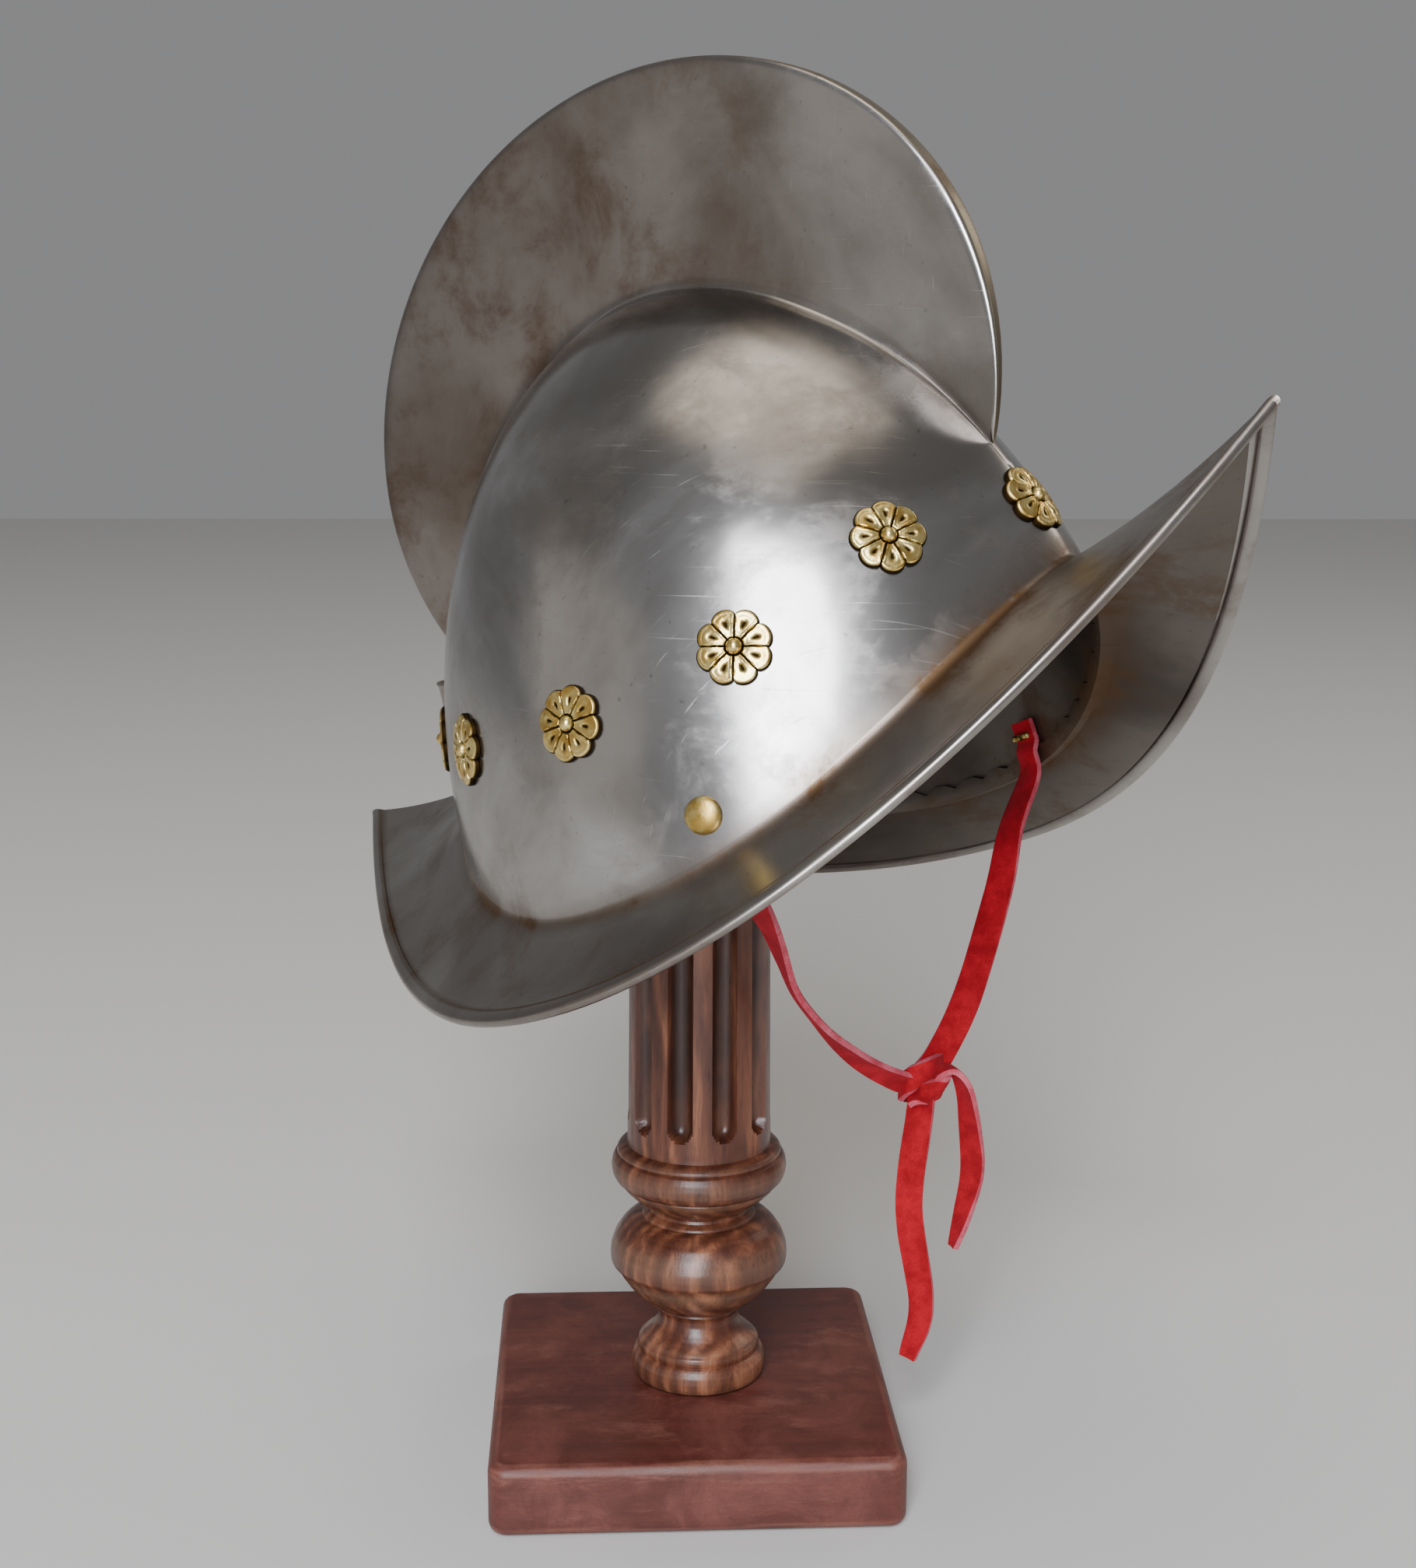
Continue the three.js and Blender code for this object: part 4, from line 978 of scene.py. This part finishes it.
def brass(name):
    """Cast brass left to age: pale and rubbed on the high faces, brown to black in the sunk parts, so
    that each petal is drawn with a dark line."""
    made, tree, shader, place = material(name)
    shader.inputs["Metallic"].default_value = 1.0
    dirt_wear_and_painted_light = add(tree, "ShaderNodeAttribute", {}, attribute_name="dirt_wear_and_painted_light").outputs["Fac"]
    clouds = add(tree, "ShaderNodeTexNoise", {
        "Vector": place, "Scale": sized(5), "Detail": 5, "Roughness": 0.6})
    grain = add(tree, "ShaderNodeTexNoise", {"Vector": place, "Scale": sized(0.8), "Detail": 3})
    rubbed = add(tree, "ShaderNodeMapRange", {
        "Value": clouds.outputs["Fac"], "From Min": 0.35, "From Max": 0.65}, **SMOOTH)
    body = add(tree, "ShaderNodeMix", {
        SHARE: rubbed.outputs[0], UNDER: linear("cba655"), OVER: linear("f2dc93")}, **COLOURS)
    brown = add(tree, "ShaderNodeMapRange", {"Value": dirt_wear_and_painted_light, "From Min": 0.05, "From Max": 0.8})
    dirty = add(tree, "ShaderNodeMix", {
        SHARE: brown.outputs[0], UNDER: body.outputs[MIXED], OVER: linear("2c1f0e")}, **COLOURS)
    tree.links.new(dirty.outputs[MIXED], shader.inputs["Base Color"])
    dull = add(tree, "ShaderNodeMapRange", {"Value": dirt_wear_and_painted_light, "To Min": 0.26, "To Max": 0.62})
    tree.links.new(dull.outputs[0], shader.inputs["Roughness"])
    cast = add(tree, "ShaderNodeBump", {
        "Height": grain.outputs["Fac"], "Strength": 0.4, "Distance": 0.1 * MM})
    tree.links.new(cast.outputs[0], shader.inputs["Normal"])
    return made


aged_brass = brass("aged_cast_brass")


def suede(name, deep, pale, sheen):
    """Split cowhide suede: a short soft nap without gloss, that looks lighter or darker in patches
    the way it was last brushed, with a pale bloom where it turns away."""
    made, tree, shader, place = material(name)
    brushed = add(tree, "ShaderNodeTexNoise", {
        "Vector": place, "Scale": sized(9), "Detail": 6, "Roughness": 0.65})
    # The fibres are 0.45 mm thick, coarser than real ones, so that the nap shows.
    fibres = add(tree, "ShaderNodeTexNoise", {
        "Vector": place, "Scale": sized(0.45), "Detail": 3, "Roughness": 0.7})
    patches = add(tree, "ShaderNodeMapRange", {
        "Value": brushed.outputs["Fac"], "From Min": 0.32, "From Max": 0.68}, **SMOOTH)
    body = add(tree, "ShaderNodeMix", {
        SHARE: patches.outputs[0], UNDER: linear(deep), OVER: linear(pale)}, **COLOURS)
    shadow = add(tree, "ShaderNodeMapRange", {
        "Value": fibres.outputs["Fac"], "From Min": 0.3, "From Max": 0.7, "To Min": 0.72, "To Max": 1.12})
    napped = add(tree, "ShaderNodeVectorMath", {
        0: body.outputs[MIXED], "Scale": shadow.outputs[0]}, operation="SCALE")
    tree.links.new(napped.outputs[0], shader.inputs["Base Color"])
    shader.inputs["Roughness"].default_value = 0.92
    shader.inputs["Specular IOR Level"].default_value = 0.2
    shader.inputs["Sheen Weight"].default_value = sheen
    shader.inputs["Sheen Roughness"].default_value = 0.5
    shader.inputs["Sheen Tint"].default_value = linear("d87888")
    nap = add(tree, "ShaderNodeBump", {
        "Height": fibres.outputs["Fac"], "Strength": 0.7, "Distance": 0.25 * MM})
    soft = add(tree, "ShaderNodeBump", {
        "Height": brushed.outputs["Fac"], "Normal": nap.outputs[0], "Strength": 0.6, "Distance": 0.8 * MM})
    tree.links.new(soft.outputs[0], shader.inputs["Normal"])
    return made


red_suede = suede("red_split_suede", "900a16", "ba1424", 0.12)
cut_edge = suede("suede_cut_edge", "b23a49", "d26a78", 0.3)


def turned_wood(name):
    """Turned hardwood, stained and waxed. Its growth rings are cut at a slant, so they sweep round the
    ball and run up the shaft. Wax gives a clear gloss, and the grooves and flutes are painted dark, as
    shade."""
    made, tree, shader, place = material(name)
    # The growth rings stand 5 mm apart round a heart that lies outside the column. At a scale of 1
    # this texture's rings are 0.314 apart.
    heart = add(tree, "ShaderNodeMapping", {
        "Vector": place, "Location": (0.045, -0.03, 0), "Rotation": (0.14, -0.1, 0)})
    rings = add(tree, "ShaderNodeTexWave", {
        "Vector": heart.outputs[0], "Scale": 0.314 * sized(5), "Distortion": 3.5, "Detail": 3,
        "Detail Scale": 0.6}, wave_type="RINGS", rings_direction="Z")
    lay = add(tree, "ShaderNodeMapping", {"Vector": place, "Scale": sized(7, 7, 60)})
    # The pores are 0.9 mm wide and 9 mm long, coarser than real ones, so that they show.
    pore_lay = add(tree, "ShaderNodeMapping", {"Vector": place, "Scale": sized(0.9, 0.9, 9)})
    streaks = add(tree, "ShaderNodeTexNoise", {
        "Vector": lay.outputs[0], "Scale": 1, "Detail": 6, "Roughness": 0.6, "Distortion": 0.6})
    pores = add(tree, "ShaderNodeTexNoise", {
        "Vector": pore_lay.outputs[0], "Scale": 1, "Detail": 3, "Roughness": 0.7})
    handled = add(tree, "ShaderNodeTexNoise", {
        "Vector": place, "Scale": sized(28), "Detail": 8, "Roughness": 0.65})
    dirt_wear_and_painted_light = add(tree, "ShaderNodeAttribute", {}, attribute_name="dirt_wear_and_painted_light").outputs["Fac"]
    mixed = add(tree, "ShaderNodeMath", {
        0: rings.outputs["Fac"], 1: 0.16, 2: streaks.outputs["Fac"]}, operation="MULTIPLY_ADD")
    low = add(tree, "ShaderNodeMapRange", {
        "Value": mixed.outputs[0], "From Min": 0.38, "From Max": 0.72}, **SMOOTH)
    high = add(tree, "ShaderNodeMapRange", {
        "Value": mixed.outputs[0], "From Min": 0.58, "From Max": 0.9}, **SMOOTH)
    body = add(tree, "ShaderNodeMix", {
        SHARE: low.outputs[0], UNDER: linear("472419"), OVER: linear("683c29")}, **COLOURS)
    figured = add(tree, "ShaderNodeMix", {
        SHARE: high.outputs[0], UNDER: body.outputs[MIXED], OVER: linear("966145")}, **COLOURS)
    shade = add(tree, "ShaderNodeMapRange", {
        "Value": pores.outputs["Fac"], "From Min": 0.32, "From Max": 0.46, "To Min": 0.62, "To Max": 1.0})
    ridges = add(tree, "ShaderNodeMapRange", {
        "Value": dirt_wear_and_painted_light, "From Min": 0.0, "From Max": -0.8, "To Max": 0.55})
    rubbed = add(tree, "ShaderNodeMix", {
        SHARE: ridges.outputs[0], UNDER: figured.outputs[MIXED], OVER: linear("9f8870")}, **COLOURS)
    pored = add(tree, "ShaderNodeVectorMath", {
        0: rubbed.outputs[MIXED], "Scale": shade.outputs[0]}, operation="SCALE")
    spread = add(tree, "ShaderNodeMapRange", {
        "Value": handled.outputs["Fac"], "From Min": 0.35, "From Max": 0.65, "To Min": 0.3, "To Max": 0.85})
    # Painted shade: the grooves and the flutes' floors are darkened, broken up by the handled noise.
    painted_shade = add(tree, "ShaderNodeMath", {
        0: dirt_wear_and_painted_light, 1: spread.outputs[0]}, operation="MULTIPLY", use_clamp=True)
    shade_darkened = add(tree, "ShaderNodeMix", {
        SHARE: painted_shade.outputs[0], UNDER: pored.outputs[0], OVER: linear("24130c")}, **COLOURS)
    tree.links.new(shade_darkened.outputs[MIXED], shader.inputs["Base Color"])
    waxed = add(tree, "ShaderNodeMapRange", {
        "Value": handled.outputs["Fac"], "From Min": 0.3, "From Max": 0.7, "To Min": 0.24, "To Max": 0.46})
    tree.links.new(waxed.outputs[0], shader.inputs["Roughness"])
    shader.inputs["IOR"].default_value = 1.5
    open_pores = add(tree, "ShaderNodeBump", {
        "Height": pores.outputs["Fac"], "Strength": 0.3, "Distance": 0.15 * MM})
    knocks = add(tree, "ShaderNodeBump", {
        "Height": handled.outputs["Fac"], "Normal": open_pores.outputs[0], "Strength": 0.3,
        "Distance": 0.9 * MM})
    tree.links.new(knocks.outputs[0], shader.inputs["Normal"])
    return made


def stained_board(name):
    """A softwood block under a thick dark red-brown stain, so that little grain shows. Dust lies on it
    in clouds, the arrises are painted pale, part rubbed stain and part painted highlight, and slanting
    scuffs cross the sides."""
    made, tree, shader, place = material(name)
    grain_lay = add(tree, "ShaderNodeMapping", {"Vector": place, "Scale": sized(70, 5, 9)})
    scuff_lay = add(tree, "ShaderNodeMapping", {
        "Vector": place, "Rotation": (0, 0.5, 0.2), "Scale": sized(26, 14, 5)})
    grain = add(tree, "ShaderNodeTexNoise", {
        "Vector": grain_lay.outputs[0], "Scale": 1, "Detail": 5, "Roughness": 0.6})
    dust = add(tree, "ShaderNodeTexNoise", {
        "Vector": place, "Scale": sized(30), "Detail": 9, "Roughness": 0.68, "Distortion": 0.7})
    scuffs = add(tree, "ShaderNodeTexNoise", {
        "Vector": scuff_lay.outputs[0], "Scale": 1, "Detail": 7, "Roughness": 0.72})
    grit = add(tree, "ShaderNodeTexNoise", {
        "Vector": place, "Scale": sized(0.8), "Detail": 3, "Roughness": 0.7})
    dirt_wear_and_painted_light = add(tree, "ShaderNodeAttribute", {}, attribute_name="dirt_wear_and_painted_light").outputs["Fac"]
    stained = add(tree, "ShaderNodeMapRange", {
        "Value": grain.outputs["Fac"], "From Min": 0.3, "From Max": 0.7, "To Max": 1.0}, **SMOOTH)
    dusty = add(tree, "ShaderNodeMapRange", {
        "Value": dust.outputs["Fac"], "From Min": 0.38, "From Max": 0.68, "To Max": 0.75}, **SMOOTH)
    scuffed = add(tree, "ShaderNodeMapRange", {
        "Value": scuffs.outputs["Fac"], "From Min": 0.52, "From Max": 0.72, "To Max": 0.5}, **SMOOTH)
    body = add(tree, "ShaderNodeMix", {
        SHARE: stained.outputs[0], UNDER: linear("50251e"), OVER: linear("602e26")}, **COLOURS)
    dulled = add(tree, "ShaderNodeMix", {
        SHARE: dusty.outputs[0], UNDER: body.outputs[MIXED], OVER: linear("744136")}, **COLOURS)
    # Pale along the arrises: part rubbed stain, part painted highlight.
    rubbed = add(tree, "ShaderNodeMath", {0: dirt_wear_and_painted_light, 1: dust.outputs["Fac"]}, operation="MULTIPLY")
    marked = add(tree, "ShaderNodeMath", {0: scuffed.outputs[0], 1: rubbed.outputs[0]}, operation="MAXIMUM")
    worn_and_highlit = add(tree, "ShaderNodeMix", {
        SHARE: marked.outputs[0], UNDER: dulled.outputs[MIXED], OVER: linear("885748")}, **COLOURS)
    shade = add(tree, "ShaderNodeMapRange", {
        "Value": grit.outputs["Fac"], "From Min": 0.3, "From Max": 0.7, "To Min": 0.86, "To Max": 1.08})
    gritty = add(tree, "ShaderNodeVectorMath", {
        0: worn_and_highlit.outputs[MIXED], "Scale": shade.outputs[0]}, operation="SCALE")
    tree.links.new(gritty.outputs[0], shader.inputs["Base Color"])
    satin = add(tree, "ShaderNodeMapRange", {
        "Value": dust.outputs["Fac"], "From Min": 0.35, "From Max": 0.65, "To Min": 0.4, "To Max": 0.62})
    tree.links.new(satin.outputs[0], shader.inputs["Roughness"])
    shader.inputs["IOR"].default_value = 1.5
    rough = add(tree, "ShaderNodeBump", {
        "Height": grit.outputs["Fac"], "Strength": 0.25, "Distance": 0.12 * MM})
    dents = add(tree, "ShaderNodeBump", {
        "Height": scuffs.outputs["Fac"], "Normal": rough.outputs[0], "Strength": 0.35, "Distance": 0.7 * MM})
    tree.links.new(dents.outputs[0], shader.inputs["Normal"])
    return made


waxed_wood = turned_wood("waxed_turned_walnut")
stained_block = stained_board("stained_and_scuffed_block")


# The floor, the light and the camera.

def lay_floor():
    """A plain pale floor, a hair under the block."""
    mesh = bpy.data.meshes.new("floor")
    mesh.from_pydata([(-4, -4, 0), (4, -4, 0), (4, 4, 0), (-4, 4, 0)], [], [(0, 1, 2, 3)])
    floor = bpy.data.objects.new("floor", mesh)
    bpy.context.collection.objects.link(floor)
    floor.location.z = -0.2 * MM
    made, _, shader, _ = material("pale_studio_floor")
    shader.inputs["Base Color"].default_value = linear("d8d6d2")
    shader.inputs["Roughness"].default_value = 0.85
    mesh.materials.append(made)


# Each lamp: its name, its place and where it faces, its width, height and watts, and its colour.
LAMPS = [
    ("tall_window", (-0.4, -2.1, 1.3), (0.0, 0.0, 0.3), 0.8, 2.3, 104, "f3f7ff"),
    ("pale_ceiling", (-0.1, -0.1, 2.4), (0.0, 0.0, 0.2), 1.3, 1.3, 8, "fff2e0"),
    ("left_wall", (-2.6, -0.7, 0.9), (0.0, 0.0, 0.3), 2.4, 2.0, 3, "fff0de"),
    ("far_right", (1.7, 0.9, 1.5), (0.0, 0.0, 0.3), 0.8, 0.8, 5, "fff4e6"),
]


def light_studio():
    """Soft light: a pale room, with a tall window in front at the left as the main lamp."""
    world = bpy.data.worlds.new("studio")
    world.use_nodes = True
    room = world.node_tree.nodes["Background"]
    room.inputs["Color"].default_value = linear("cfcfd1")
    room.inputs["Strength"].default_value = 0.4
    bpy.context.scene.world = world
    for name, at, aim, width, height, power, colour in LAMPS:
        lamp = bpy.data.lights.new(name, "AREA")
        lamp.shape = "RECTANGLE"
        lamp.size, lamp.size_y = width, height
        lamp.energy = power
        lamp.color = linear(colour)[:3]
        light = bpy.data.objects.new(name, lamp)
        light.location = at
        light.rotation_euler = (Vector(aim) - Vector(at)).to_track_quat("-Z", "Y").to_euler()
        bpy.context.collection.objects.link(light)


# The camera, as it was fitted to the photograph: where it stands, and its right, up and back.
CAMERA_PLACE = (-0.02912, -0.66282, 0.34998)
CAMERA_RIGHT = (0.9987, -0.0507, 0.0041)
CAMERA_UP = (0.0058, 0.1947, 0.9808)
CAMERA_BACK = (-0.0505, -0.9796, 0.1947)


def set_camera():
    """The camera with a plain 50 mm lens."""
    lens = bpy.data.cameras.new("camera")
    lens.lens = 50.0
    lens.sensor_width = 36.0
    lens.clip_start = 0.01
    camera = bpy.data.objects.new("camera", lens)
    bpy.context.collection.objects.link(camera)
    rows = list(zip(CAMERA_RIGHT, CAMERA_UP, CAMERA_BACK, CAMERA_PLACE))
    camera.matrix_world = Matrix(rows + [(0, 0, 0, 1)])
    bpy.context.scene.camera = camera


lay_floor()
light_studio()
set_camera()
helmet_skin()
rosettes()
plume_holder()
strap_rivet("strap_rivet_right", RIVET_RIGHT)
strap_rivet("strap_rivet_left", RIVET_LEFT)
chin_strap()
stand_column()
stand_block()
